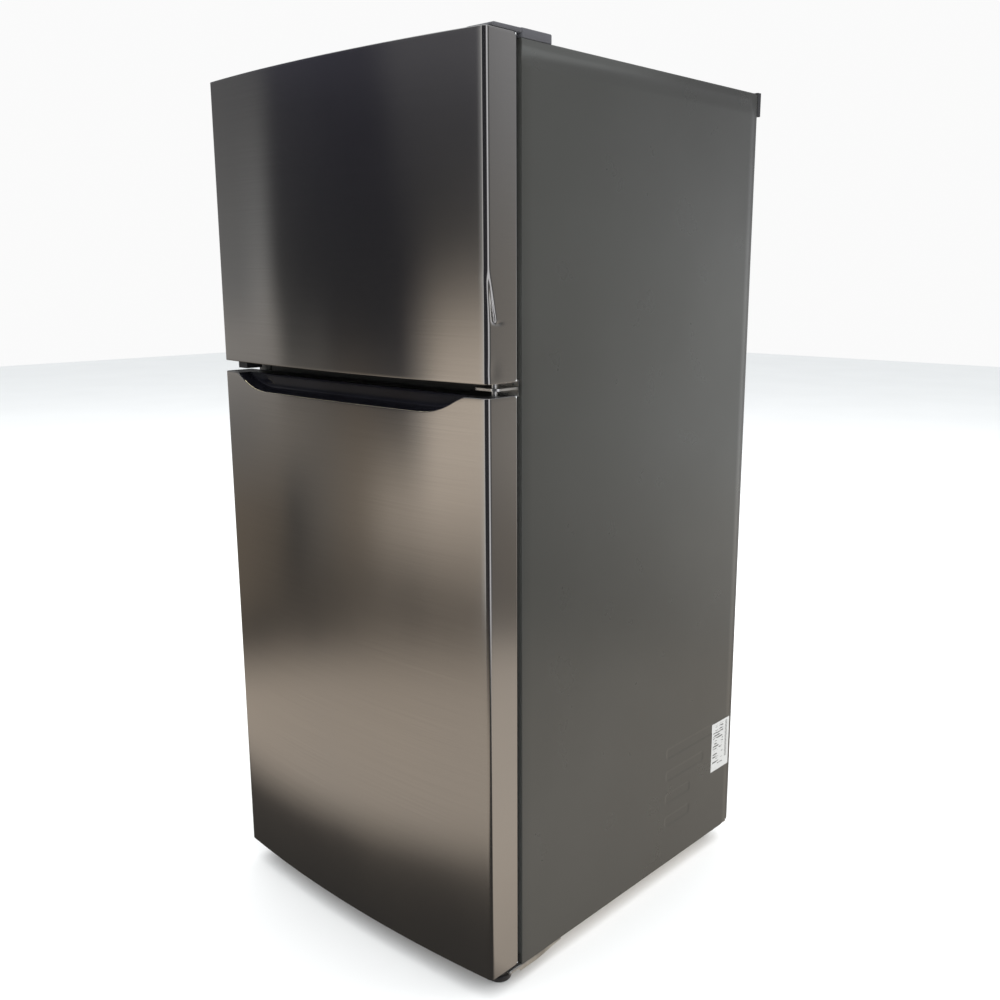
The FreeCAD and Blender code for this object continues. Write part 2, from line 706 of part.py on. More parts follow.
def crispers():
    """Two open drawers side by side on the refrigerator's floor, each with a grip along its front."""
    y = ("front + drawer_front", "step_front - 4")
    reach = "room - ledge - drawer_side"
    for side, x in (("left", (f"-({reach})", "-3")), ("right", ("3", reach))):
        outer = box(x, y, ("floor_level + clearance", "drawer_top"))
        rear = lambda edge: upright(edge) and edge.Vertexes[0].Point.y > 0
        inner = box((f"{x[0]} + drawer_wall", f"{x[1]} - drawer_wall"),
                    (f"{y[0]} + 2 * drawer_wall", f"{y[1]} - drawer_wall"),
                    ("floor_level + clearance + drawer_wall", "drawer_top + 1"))
        lip = box((f"{x[0]} + grip", f"{x[1]} - grip"), (f"{y[0]} - grip_depth", y[0]),
                  ("drawer_top - 32", "drawer_top"))
        scoop = box((f"{x[0]} + grip + 3", f"{x[1]} - grip - 3"), (f"{y[0]} - grip_depth + 3", y[0]),
                    ("drawer_top - 40", "drawer_top - 3"))
        hollow = rounded(inner, "drawer_corner - drawer_wall", rear)
        tub = cut(rounded(outer, "drawer_corner", rear), hollow)
        node(fuse(tub, cut(lip, scoop)), f"crisper_{side}")


def evaporator_cover():
    """The panel across the back of the freezer, with an air grille and a row of return slots."""
    y = ("room_rear - 92", "room_rear - 89")
    through = (f"{y[0]} - 1", f"{y[1]} + 1")
    panel = box(("-room + clearance", "room - clearance"), y,
                ("freezer_floor + clearance", "freezer_roof - clearance"))
    slots = [box((x, x + 40), through, (f"freezer_floor + {z}", f"freezer_floor + {z} + 7"))
             for x in range(-150, 150, 52) for z in (300, 318, 336)]
    slots += [box((x, x + 50), through, ("freezer_floor + 8", "freezer_floor + 20"))
              for x in range(-290, 260, 66)]
    return node(cut(panel, *slots), "evaporator_cover")


def evaporator():
    """Finned coil behind the freezer's rear panel."""
    reach, step = 240, 20
    fins = [box((x, x + 1), ("room_rear - 72", "room_rear - 12"),
                ("freezer_floor + 30", "freezer_floor + 210")) for x in range(-reach, reach + 1, step)]
    tubes = [rod(-reach - 22, y, f"freezer_floor + {z}", "coil_tube", 2 * reach + 44, "x")
             for y in ("room_rear - 56", "room_rear - 28") for z in range(50, 191, 35)]
    return node(fuse(*fins, *tubes), "evaporator")


def fan(x, y, z, axis, name, radius):
    """A hub with five pitched blades, bored for the motor's shaft."""
    count, pitch_angle, root = 5, 28, 12
    pitch = FreeCAD.Placement(FreeCAD.Vector(root, 0, 0),
                              FreeCAD.Rotation(FreeCAD.Vector(1, 0, 0), pitch_angle))
    centred = FreeCAD.Placement(FreeCAD.Vector(0, -number("blade_width") / 2, -number("blade_thick") / 2),
                                FreeCAD.Rotation())
    blades = []
    for i in range(count):
        blade = doc.addObject("Part::Box", "blade")
        bind(blade, Length=f"{radius} - {root}", Width="blade_width", Height="blade_thick")
        spin = FreeCAD.Rotation(FreeCAD.Vector(0, 0, 1), 360 / count * i)
        turn = FreeCAD.Placement(FreeCAD.Vector(), spin)
        blade.Placement = turn * pitch * centred
        blades.append(blade)
    wheel = fuse(*blades)
    wheel.Placement = FreeCAD.Placement(FreeCAD.Vector(), TURNS[axis])
    middle, back = {"x": ((f"{x} + hub_length / 2", y, z), (f"{x} - 1", y, z)),
                    "y": ((x, f"{y} + hub_length / 2", z), (x, f"{y} - 1", z))}[axis]
    put(wheel, *middle)
    hub = rod(x, y, z, "hub", "hub_length", axis)
    return node(cut(fuse(hub, wheel), rod(*back, "shaft + running", "hub_length + 2", axis)), name)


def evaporator_fan():
    """The fan behind the grille, on a motor that an arm holds to the liner."""
    x, y, z = "0", "room_rear - 84", "freezer_floor + fan_rise"
    fan(x, y, z, "y", "evaporator_fan_blades", "evaporator_fan")
    motor = rod(x, "room_rear - 60", z, 30, 36, "y")
    shaft = rod(x, f"{y} + 1", z, "shaft", 24, "y")
    arm = box((-90, 90), ("room_rear - 24", "room_rear"), (f"{z} - 10", f"{z} + 10"))
    return node(fuse(motor, shaft, arm), "evaporator_fan_motor")


def air_duct():
    """The air channel up the back of the refrigerator, with side outlets."""
    y = ("room_rear - 28", "room_rear")
    z = ("step_top + 6", "fridge_roof - control_height")
    side, wall = 95, 3
    duct = box((-side, side), y, z)
    hollow = box((-side + wall, side - wall), (f"{y[0]} + {wall}", f"{y[1]} + 1"),
                 (f"{z[0]} + {wall}", f"{z[1]} - {wall}"))
    outlets = [box((-60, 60), (f"{y[0]} - 1", f"{y[0]} + {wall} + 1"),
                   (f"step_top + {rise}", f"step_top + {rise} + 10")) for rise in (120, 360, 600)]
    return node(cut(duct, hollow, *outlets), "air_duct")


def control_unit():
    """The control housing under the refrigerator's ceiling, with its lamp lens and temperature dial."""
    y = ("front + control_front", "front + control_back")
    z = ("fridge_roof - control_height", "fridge_roof")
    side = 150
    body = box((-side, side), y, z)
    hollow = box((f"-{side} + control_wall", f"{side} - control_wall"),
                 (f"{y[0]} + control_wall", f"{y[1]} - control_wall"), (f"{z[0]} + control_wall", f"{z[1]} + 1"))
    window = (-100, 100), (f"{y[0]} + 50", f"{y[1]} - 30")
    opening = box(*window, (f"{z[0]} - 1", f"{z[0]} + control_wall + 1"))
    centre = f"{z[0]} + control_height / 2"
    bore = rod("dial_x", f"{y[0]} - 1", centre, "shaft + running", "control_wall + 2", "y")
    node(cut(body, hollow, opening, bore), "control_housing")
    node(box(*window, (z[0], f"{z[0]} + 2.5")), "lamp_lens")
    knob = rod("dial_x", f"{y[0]} - 8", centre, "dial", 7.6, "y")
    grip = box(("dial_x - 2.5", "dial_x + 2.5"), (f"{y[0]} - 14", f"{y[0]} - 7"),
               (f"{centre} - dial + 0.5", f"{centre} + dial - 0.5"))
    node(fuse(knob, grip, rod("dial_x", f"{y[0]} - 1", centre, "shaft", 9, "y")), "temperature_dial")


def light_switch():
    """The housing under the ceiling, and the plunger that the frame on the refrigerator door holds in."""
    x, z = "-room + switch_side", "fridge_roof - switch_drop"
    tip = "dike_face + seal_gap"
    y = (f"{tip} + 8", f"{tip} + 40")
    housing = box((f"{x} - 14", f"{x} + 14"), y, (f"{z} - 9", "fridge_roof"))
    slot = rod(x, f"{y[0]} - 1", z, "plunger + running", "plunger_length - 2", "y")
    node(cut(housing, slot), "light_switch_housing")
    node(rod(x, tip, z, "plunger", "plunger_length", "y"), "light_switch_plunger")


for build in (shelves, crispers, evaporator_cover, evaporator, evaporator_fan, air_duct, control_unit,
              light_switch):
    build()


# ---------------------------------------------------------------- machine compartment

def machine_base():
    """The steel tray that carries the compressor, with the roller forks under it."""
    tray = box(("-half + shell", "half - shell"), ("machine_front", "rear - 3"),
               ("case_bottom", "case_bottom + 2"))
    return node(fuse(tray, *roller_forks()), "compressor_base")


def compressor():
    """A welded can on a foot plate, which stands on four rubber mounts."""
    floor = "case_bottom + 22"
    can = rounded(rod("compressor_x", "machine_middle", f"{floor} + 3", "compressor", "compressor_height"),
                  "compressor / 2", lambda edge: len(edge.Vertexes) == 1)
    plate = box(("compressor_x - 88", "compressor_x + 88"), ("machine_middle - 70", "machine_middle + 70"),
                (floor, f"{floor} + 14"))
    legs = [rod(f"compressor_x + {sx} * 74", f"machine_middle + {sy} * 56", "case_bottom + 2", 12, 20)
            for sx in (-1, 1) for sy in (-1, 1)]
    node(fuse(can, plate), "compressor")
    node(group(*legs), "compressor_mounts")


def drain_pan():
    """The shallow tray that catches defrost water."""
    x, y, z = (-300, 60), ("machine_front + 20", "rear - 30"), ("case_bottom + 2", "case_bottom + 40")
    wall = 3
    inner = box((x[0] + wall, x[1] - wall), (f"{y[0]} + {wall}", f"{y[1]} - {wall}"),
                (f"{z[0]} + {wall}", f"{z[1]} + 1"))
    return node(cut(box(x, y, z), inner), "drain_pan")


def condenser():
    """A serpentine of tube with straight runs and half-turn bends, stood over the drain pan."""
    runs, left = 7, -250
    pieces = []
    for i in range(runs):
        z = f"case_bottom + 60 + {i} * coil_pitch"
        pieces.append(rod(left, "machine_middle", z, "coil_tube", "coil_run", "x"))
        if i < runs - 1:
            bend = doc.addObject("Part::Torus", "bend")
            bind(bend, Radius1="coil_pitch / 2", Radius2="coil_tube")
            bend.Angle3 = 180
            on_right = i % 2 == 0
            flat = FreeCAD.Rotation(FreeCAD.Vector(1, 0, 0), 90)
            turn = FreeCAD.Rotation(FreeCAD.Vector(0, 1, 0), 90 if on_right else -90)
            bend.Placement = FreeCAD.Placement(FreeCAD.Vector(), turn * flat)
            put(bend, f"{left} + coil_run" if on_right else left, "machine_middle", f"{z} + coil_pitch / 2")
            pieces.append(bend)
    return node(fuse(*pieces), "condenser_coil")


def condenser_fan():
    """The fan beside the coil, with its motor on a post that stands across the drain pan."""
    y, z = "machine_middle", "case_bottom + 130"
    x = -30
    fan(x, y, z, "x", "condenser_fan_blades", "condenser_fan")
    motor = rod(2, y, z, 28, 34, "x")
    shaft = rod(x + 1, y, z, "shaft", 32, "x")
    post = box((36, 44), (f"{y} - 92", f"{y} + 92"), ("case_bottom + 42", "case_bottom + 220"))
    boss = rod(35, y, z, 18, 10, "x")
    return node(fuse(motor, shaft, post, boss), "condenser_fan_motor")


def power_inlet():
    """The moulded gland where the supply lead leaves the machine compartment."""
    x, z = "half - 70", "machine_top - 40"
    flange = rod(x, "rear", z, "gland", 3, "y")
    collar = rod(x, "rear + 2", z, "gland - 5", 7, "y")
    return node(fuse(flange, collar), "power_inlet")


for build in (machine_base, compressor, drain_pan, condenser, condenser_fan, power_inlet):
    build()


# ---------------------------------------------------------------- checks and export

doc.recompute()
for item in doc.Objects:
    if "Invalid" in item.State or "Error" in item.State:
        raise RuntimeError(f"{item.Label} ({item.TypeId}) failed: {item.State}")
for item in nodes:
    shape = item.Shape
    if shape.isNull() or not shape.isValid() or not shape.Solids:
        raise RuntimeError(f"{item.Label} has no sound shape")

os.makedirs("parts", exist_ok=True)
for item in nodes:
    item.Shape.exportStep(os.path.join("parts", f"{item.Label}.step"))
print(len(nodes), "sub-parts")
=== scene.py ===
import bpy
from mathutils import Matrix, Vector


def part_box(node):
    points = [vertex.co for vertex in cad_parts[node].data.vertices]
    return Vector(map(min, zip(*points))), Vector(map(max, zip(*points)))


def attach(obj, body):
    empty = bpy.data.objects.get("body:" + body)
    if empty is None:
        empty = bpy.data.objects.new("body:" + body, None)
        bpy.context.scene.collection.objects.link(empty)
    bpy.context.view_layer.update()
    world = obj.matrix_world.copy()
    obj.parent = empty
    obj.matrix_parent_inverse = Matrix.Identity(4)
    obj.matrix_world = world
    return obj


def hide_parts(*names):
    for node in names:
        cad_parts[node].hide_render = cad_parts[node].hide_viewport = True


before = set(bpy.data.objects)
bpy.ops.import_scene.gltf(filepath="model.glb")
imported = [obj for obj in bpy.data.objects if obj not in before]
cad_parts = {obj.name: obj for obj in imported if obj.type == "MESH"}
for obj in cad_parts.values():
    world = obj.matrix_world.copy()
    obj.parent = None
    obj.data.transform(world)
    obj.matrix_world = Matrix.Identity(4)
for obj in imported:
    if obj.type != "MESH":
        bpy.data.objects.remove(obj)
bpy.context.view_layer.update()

import math

import bpy
import numpy as np
from mathutils import Euler, Vector

MM = 0.001


# ------------------------------------------------------------ measures, all from the frame

def low(node):
    """A node's lowest corner at rest."""
    return np.array(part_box(node)[0])


def high(node):
    """A node's highest corner at rest."""
    return np.array(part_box(node)[1])


HALF = high("cabinet_shell")[0]
FRONT = low("cabinet_shell")[1]
REAR = high("cabinet_shell")[1]
CASE_TOP = high("cabinet_shell")[2]
CASE_LOW = low("cabinet_shell")[2]
DOOR_BACK = high("freezer_door_skin")[1]
BOW_FRONT = low("freezer_door_skin")[1]
BOW = 22 * MM
BOW_RADIUS = (HALF * HALF + BOW * BOW) / (2 * BOW)
DOOR_FACE = BOW_FRONT + BOW
CORNER = 9 * MM
CAP_DEPTH = 14 * MM
FREEZER_LOW = low("freezer_door_bottom_cap")[2]
FREEZER_HIGH = high("freezer_door_top_cap")[2]
FRIDGE_LOW = low("refrigerator_door_bottom_cap")[2]
FRIDGE_HIGH = high("refrigerator_door_top_cap")[2]
SCOOP_BACK = high("pocket_handle")[1]
SIDE = HALF - 0.25 * MM        # the painted sheet lies this far inside the CAD box, under the label
POCKET_FLAT = 225 * MM
POCKET_BEND = 162 * MM
POCKET_SLOPE = math.radians(27.5)
POCKET_DROP = 31.7 * MM


# ------------------------------------------------------------ mesh tools

def smooth_step(x, start, end):
    """0 before start, 1 after end, and an S-shaped cubic between them."""
    t = np.clip((x - start) / (end - start), 0, 1)
    return t * t * (3 - 2 * t)


def mesh_piece(name, verts, faces, material, body, smooth=True, uv=None):
    """A mesh object from whole arrays, riding on a body. uv holds one pair for each vertex."""
    mesh = bpy.data.meshes.new(name)
    mesh.from_pydata(verts.reshape(-1, 3).tolist(), [], faces)
    if uv is not None:
        layer = mesh.uv_layers.new(name="UVMap")
        index = np.empty(len(mesh.loops), dtype=np.int32)
        mesh.loops.foreach_get("vertex_index", index)
        layer.data.foreach_set("uv", uv.reshape(-1, 2)[index].ravel())
    mesh.validate()
    piece = bpy.data.objects.new(name, mesh)
    bpy.context.scene.collection.objects.link(piece)
    mesh.polygons.foreach_set("use_smooth", [smooth] * len(mesh.polygons))
    mesh.materials.append(material)
    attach(piece, body)
    return piece


def grid_faces(rows, columns, wrap=False, start=0):
    """Quads between neighbours of a rows by columns grid. wrap joins the last column to the first."""
    last = columns if wrap else columns - 1
    i, j = np.meshgrid(np.arange(rows - 1), np.arange(last), indexing="ij")
    k = (j + 1) % columns
    quads = np.stack([i * columns + j, i * columns + k, (i + 1) * columns + k, (i + 1) * columns + j], axis=-1)
    return (quads.reshape(-1, 4) + start).tolist()


def grid_piece(name, points, material, body, flip=False, wrap=False, close=(), uv=None, smooth=True):
    """A surface from a grid of points. close names the end rows to fill with a fan round their middle."""
    rows, columns = points.shape[:2]
    faces = grid_faces(rows, columns, wrap)
    verts = points.reshape(-1, 3)
    for end in close:
        row = 0 if end == "first" else rows - 1
        middle = len(verts)
        verts = np.vstack([verts, points[row].mean(axis=0)])
        turn = np.arange(columns)
        ahead = (turn + 1) % columns
        pair = (ahead, turn) if end == "first" else (turn, ahead)
        faces += np.stack([np.full(columns, middle), row * columns + pair[0], row * columns + pair[1]],
                          axis=-1).tolist()
    if flip:
        faces = [face[::-1] for face in faces]
    return mesh_piece(name, verts, faces, material, body, smooth, uv)


def thicken(piece, amount):
    """A wall of even thickness behind a surface."""
    wall = piece.modifiers.new("wall", "SOLIDIFY")
    wall.thickness = amount
    wall.offset = -1


def clustered(start, end, steps, marks=(), width=0.0, extra=0):
    """Evenly spaced values from start to end, with extra ones within width of each mark."""
    values = [np.linspace(start, end, steps)]
    for mark in marks:
        values.append(np.linspace(max(start, mark - width), min(end, mark + width), extra))
    return np.unique(np.round(np.concatenate(values), 7))


def rounded_rectangle(x0, x1, z0, z1, radius, steps=8):
    """A closed outline, turning left: straight sides joined by quarter circles."""
    turns = np.linspace(0, math.pi / 2, steps)
    corners = [(x1 - radius, z1 - radius, 0), (x0 + radius, z1 - radius, 1),
               (x0 + radius, z0 + radius, 2), (x1 - radius, z0 + radius, 3)]
    return np.concatenate([np.stack([cx + radius * np.cos(turns + quarter * math.pi / 2),
                                     cz + radius * np.sin(turns + quarter * math.pi / 2)], axis=-1)
                           for cx, cz, quarter in corners])


# ------------------------------------------------------------ materials

def new_material(name):
    """A node material, its node tree and its shader."""
    material = bpy.data.materials.new(name)
    material.use_nodes = True
    tree = material.node_tree
    return material, tree, tree.nodes["Principled BSDF"]


def noise(tree, scale, stretch=(1, 1, 1), detail=3.0, rough=0.5):
    """Noise on Object coordinates, stretched along each axis."""
    coords = tree.nodes.new("ShaderNodeTexCoord")
    mapping = tree.nodes.new("ShaderNodeMapping")
    mapping.inputs["Scale"].default_value = stretch
    texture = tree.nodes.new("ShaderNodeTexNoise")
    texture.inputs["Scale"].default_value = scale
    texture.inputs["Detail"].default_value = detail
    texture.inputs["Roughness"].default_value = rough
    tree.links.new(coords.outputs["Object"], mapping.inputs["Vector"])
    tree.links.new(mapping.outputs["Vector"], texture.inputs["Vector"])
    return texture.outputs["Fac"]


def ramp(tree, value, stops):
    """A ramp of greys or colours through stops of (place, colour)."""
    node = tree.nodes.new("ShaderNodeValToRGB")
    band = node.color_ramp
    while len(band.elements) < len(stops):
        band.elements.new(0.5)
    for element, (place, colour) in zip(band.elements, stops):
        element.position = place
        element.color = (*colour, 1) if len(colour) == 3 else colour
    tree.links.new(value, node.inputs["Fac"])
    return node.outputs["Color"]


def span(tree, value, from_low, from_high, to_low, to_high):
    """A value moved from one range to another."""
    node = tree.nodes.new("ShaderNodeMapRange")
    for socket, number in zip(("From Min", "From Max", "To Min", "To Max"),
                              (from_low, from_high, to_low, to_high)):
        node.inputs[socket].default_value = number
    tree.links.new(value, node.inputs["Value"])
    return node.outputs["Result"]


def bump(tree, shader, height, distance, strength=0.5):
    """Fine relief from a height."""
    node = tree.nodes.new("ShaderNodeBump")
    node.inputs["Distance"].default_value = distance
    node.inputs["Strength"].default_value = strength
    tree.links.new(height, node.inputs["Height"])
    tree.links.new(node.outputs["Normal"], shader.inputs["Normal"])
    return node


def mottled(name, dark, light, rough, grain, relief=0.0, metallic=0.0, scale=6.0, specular=0.5):
    """A finish whose colour drifts slowly from dark to light, whose roughness drifts five times as finely,
    and whose grain is a fine relief."""
    material, tree, shader = new_material(name)
    slow = noise(tree, scale, detail=4)
    tree.links.new(ramp(tree, slow, [(0.3, dark), (0.7, light)]), shader.inputs["Base Color"])
    fine = noise(tree, grain, detail=2)
    gloss = noise(tree, scale * 5)
    tree.links.new(span(tree, gloss, 0.3, 0.7, rough[0], rough[1]), shader.inputs["Roughness"])
    shader.inputs["Metallic"].default_value = metallic
    shader.inputs["Specular IOR Level"].default_value = specular
    if relief:
        bump(tree, shader, fine, relief)
    return material


def brushed_stainless():
    """Dark stainless sheet. Its grain runs level, so highlights stretch up and down. Its colour is fine level
    streaks multiplied by a slow stain, and the stain also drifts its roughness."""
    material, tree, shader = new_material("brushed_stainless")
    streaks = noise(tree, 90, stretch=(0.03, 0.03, 14), detail=4, rough=0.65)
    stain = noise(tree, 3.2, stretch=(1, 1, 0.6), detail=5)
    mix = tree.nodes.new("ShaderNodeMix")
    mix.data_type = "RGBA"
    mix.blend_type = "MULTIPLY"
    mix.inputs["Factor"].default_value = 1
    grain = ramp(tree, streaks, [(0.3, (0.36, 0.35, 0.335)), (0.7, (0.41, 0.4, 0.385))])
    tree.links.new(grain, mix.inputs["A"])
    tree.links.new(ramp(tree, stain, [(0.3, (0.93, 0.94, 0.96)), (0.7, (1, 1, 1))]), mix.inputs["B"])
    tree.links.new(mix.outputs["Result"], shader.inputs["Base Color"])
    tree.links.new(span(tree, stain, 0.3, 0.7, 0.13, 0.17), shader.inputs["Roughness"])
    shader.inputs["Metallic"].default_value = 1
    shader.inputs["Anisotropic"].default_value = 0.85
    shader.inputs["Anisotropic Rotation"].default_value = 0.25
    tangent = tree.nodes.new("ShaderNodeTangent")
    tangent.direction_type = "UV_MAP"
    tangent.uv_map = "UVMap"
    tree.links.new(tangent.outputs["Tangent"], shader.inputs["Tangent"])
    bump(tree, shader, streaks, 0.00001, 0.2)
    return material


STAINLESS = brushed_stainless()
PAINT = mottled("graphite_paint", (0.033, 0.033, 0.03), (0.039, 0.039, 0.036), (0.27, 0.31), 900, 0.00003,
                scale=2.5, specular=0.6)
PAINT.node_tree.nodes["Principled BSDF"].inputs["Specular Tint"].default_value = (0.97, 1, 0.98, 1)
GLOSS_BLACK = mottled("gloss_black_moulding", (0.004, 0.004, 0.006), (0.008, 0.008, 0.011), (0.06, 0.12), 400,
                      scale=9)
BLACK_PLASTIC = mottled("black_plastic", (0.012, 0.012, 0.013), (0.02, 0.02, 0.022), (0.38, 0.5), 1500, 0.00006)
COVER_PLASTIC = mottled("grey_cover_plastic", (0.06, 0.06, 0.068), (0.078, 0.078, 0.086), (0.48, 0.58), 1800,
                        0.0001)
ZINC = mottled("zinc_plate", (0.5, 0.5, 0.48), (0.68, 0.68, 0.66), (0.24, 0.42), 300, 0.00002, metallic=1,
               scale=40)
GALVANISED = mottled("galvanised_sheet", (0.34, 0.34, 0.33), (0.62, 0.62, 0.6), (0.3, 0.45), 300, 0.00002,
                     metallic=1, scale=30)
WHITE_PLASTIC = mottled("white_liner", (0.78, 0.79, 0.79), (0.8, 0.81, 0.81), (0.3, 0.33), 700, 0.00002,
                        scale=3)
# The seal rubber is near black: a dark rubber, darkened further as painted shade for the dark gap between door
# and cabinet. The compressor mounts share it.
RUBBER_WITH_PAINTED_SHADE = mottled("gasket_rubber", (0.03, 0.03, 0.032), (0.045, 0.045, 0.048), (0.5, 0.62), 1200, 0.00003)
BOARD = mottled("rear_sheet", (0.3, 0.305, 0.31), (0.36, 0.365, 0.37), (0.42, 0.5), 900, 0.00003, metallic=0.6,
                scale=8)
NYLON = mottled("roller_nylon", (0.05, 0.05, 0.05), (0.075, 0.075, 0.075), (0.4, 0.5), 1200, 0.00004)
FOAM = mottled("foam", (0.7, 0.62, 0.42), (0.8, 0.72, 0.52), (0.8, 0.9), 300, 0.0004)
BLACK_ENAMEL = mottled("black_enamel", (0.012, 0.012, 0.012), (0.02, 0.02, 0.02), (0.25, 0.35), 500, 0.00004)
COPPER = mottled("copper_tube", (0.6, 0.3, 0.19), (0.75, 0.42, 0.29), (0.25, 0.4), 300, 0.00002, metallic=1,
                 scale=30)
FINS = mottled("aluminium_fins", (0.7, 0.71, 0.72), (0.8, 0.81, 0.82), (0.3, 0.4), 300, 0.00002, metallic=1,
               scale=30)


def clear_material(name, tint, rough, passing=0.85):
    """Clear moulded plastic or glass, faintly clouded. passing is the share of light it lets through."""
    material, tree, shader = new_material(name)
    haze = noise(tree, 30, detail=4)
    tree.links.new(ramp(tree, haze, [(0.3, tint), (0.7, tuple(min(1, c * 1.04) for c in tint))]),
                   shader.inputs["Base Color"])
    tree.links.new(span(tree, haze, 0.3, 0.7, rough, rough + 0.05), shader.inputs["Roughness"])
    shader.inputs["Transmission Weight"].default_value = passing
    shader.inputs["IOR"].default_value = 1.3
    return material


CLEAR = clear_material("clear_plastic", (0.9, 0.93, 0.95), 0.05)
GLASS = clear_material("shelf_glass", (0.84, 0.92, 0.89), 0.02, 0.9)


def label_paper():
    """White paper with rows of grey dashes on the left and a column of bars on the right."""
    material, tree, shader = new_material("label_paper")
    coords = tree.nodes.new("ShaderNodeTexCoord")
    split = tree.nodes.new("ShaderNodeSeparateXYZ")
    tree.links.new(coords.outputs["UV"], split.inputs["Vector"])

    def band(source, count, width, offset=0.0):
        """1 where the fraction of source times count, plus offset, is under width, and 0 elsewhere."""
        wave = tree.nodes.new("ShaderNodeMath")
        wave.operation = "MULTIPLY_ADD"
        wave.inputs[1].default_value = count
        wave.inputs[2].default_value = offset
        tree.links.new(source, wave.inputs[0])
        part = tree.nodes.new("ShaderNodeMath")
        part.operation = "FRACT"
        tree.links.new(wave.outputs[0], part.inputs[0])
        less = tree.nodes.new("ShaderNodeMath")
        less.operation = "LESS_THAN"
        less.inputs[1].default_value = width
        tree.links.new(part.outputs[0], less.inputs[0])
        return less.outputs[0]

    def within(source, start, end):
        """1 between start and end, and 0 elsewhere."""
        node = tree.nodes.new("ShaderNodeMath")
        node.operation = "COMPARE"
        node.inputs[1].default_value = (start + end) / 2
        node.inputs[2].default_value = (end - start) / 2
        tree.links.new(source, node.inputs[0])
        return node.outputs[0]

    def times(*sources):
        """The product of all sources."""
        result = sources[0]
        for source in sources[1:]:
            node = tree.nodes.new("ShaderNodeMath")
            node.operation = "MULTIPLY"
            tree.links.new(result, node.inputs[0])
            tree.links.new(source, node.inputs[1])
            result = node.outputs[0]
        return result

    across, up = split.outputs["X"], split.outputs["Y"]
    patch = noise(tree, 60, stretch=(1, 1, 4), detail=1)
    words = span(tree, patch, 0.5, 0.53, 0, 1)
    rows = times(band(up, 18, 0.5), words, within(across, 0.08, 0.66), within(up, 0.12, 0.95))
    bars = times(band(up, 34, 0.5, 0.2), within(across, 0.77, 0.88), within(up, 0.2, 0.95))
    total = tree.nodes.new("ShaderNodeMath")
    total.operation = "ADD"
    total.use_clamp = True
    tree.links.new(rows, total.inputs[0])
    tree.links.new(bars, total.inputs[1])
    tree.links.new(ramp(tree, total.outputs[0], [(0, (0.5, 0.5, 0.49)), (1, (0.07, 0.07, 0.07))]),
                   shader.inputs["Base Color"])
    shader.inputs["Roughness"].default_value = 0.5
    return material


LABEL = label_paper()


# ------------------------------------------------------------ doors

def bow_y(x, inset=0.0):
    """The bowed face's place at x: a circle through both corners whose middle stands BOW further out."""
    return BOW_FRONT + BOW_RADIUS - np.sqrt((BOW_RADIUS - inset) ** 2 - np.asarray(x) ** 2)


def door_plan(marks=()):
    """Points and outward normals round a door in plan, from its left rear edge to its right one.
    The face is a shallow arc, and quarter-round corners join it to the straight sides."""
    centre = np.array([0, BOW_FRONT + BOW_RADIUS])
    fillet_x = HALF - CORNER
    fillet_y = centre[1] - math.sqrt((BOW_RADIUS - CORNER) ** 2 - fillet_x ** 2)
    reach = math.asin(fillet_x / (BOW_RADIUS - CORNER))
    share = clustered(-1, 1, 70, marks, 0.16, 45)
    angle = share * reach
    face_normal = np.stack([np.sin(angle), -np.cos(angle)], axis=-1)
    face = centre + BOW_RADIUS * face_normal
    turn = np.linspace(reach, math.pi / 2, 12)[1:]
    right_normal = np.stack([np.sin(turn), -np.cos(turn)], axis=-1)
    right = np.array([fillet_x, fillet_y]) + CORNER * right_normal
    hem_radius = 1.5 * MM
    depth = clustered(fillet_y, DOOR_BACK - hem_radius, 44, (DOOR_BACK,), 10 * MM, 10)[1:]
    side = np.stack([np.full(len(depth), HALF), depth], axis=-1)
    side_normal = np.tile([1.0, 0.0], (len(depth), 1))
    roll = np.linspace(0, math.pi / 2, 6)[1:]
    hem_normal = np.stack([np.cos(roll), np.sin(roll)], axis=-1)
    hem = np.array([HALF - hem_radius, DOOR_BACK - hem_radius]) + hem_radius * hem_normal
    tail = np.array([[HALF - 5 * MM, DOOR_BACK]])
    half_points = np.concatenate([right, side, hem, tail])
    half_normals = np.concatenate([right_normal, side_normal, hem_normal, [[0.0, 1.0]]])
    mirror = np.array([-1, 1])
    points = np.concatenate([half_points[::-1] * mirror, face, half_points])
    normals = np.concatenate([half_normals[::-1] * mirror, face_normal, half_normals])
    return points, normals


def smile_drop(x):
    """How far the pocket handle's rim lies below the door's top at x: level in the middle, then an arc, then
    a straight slope up to the top, eased where it meets the top."""
    out = np.clip(np.abs(x) - POCKET_FLAT, 0, None)
    bend_end = POCKET_BEND * math.sin(POCKET_SLOPE)
    arc = POCKET_BEND - np.sqrt(POCKET_BEND ** 2 - np.clip(out, 0, bend_end) ** 2)
    line = np.clip(out - bend_end, 0, None) * math.tan(POCKET_SLOPE)
    drop = POCKET_DROP - arc - line
    ease = 2.5 * MM
    return np.where(drop > ease, drop, ease * np.exp(np.clip((drop - ease) / ease, -12, 0)))


def no_drop(x):
    """A straight top edge: no drop at any x."""
    return np.zeros_like(x)


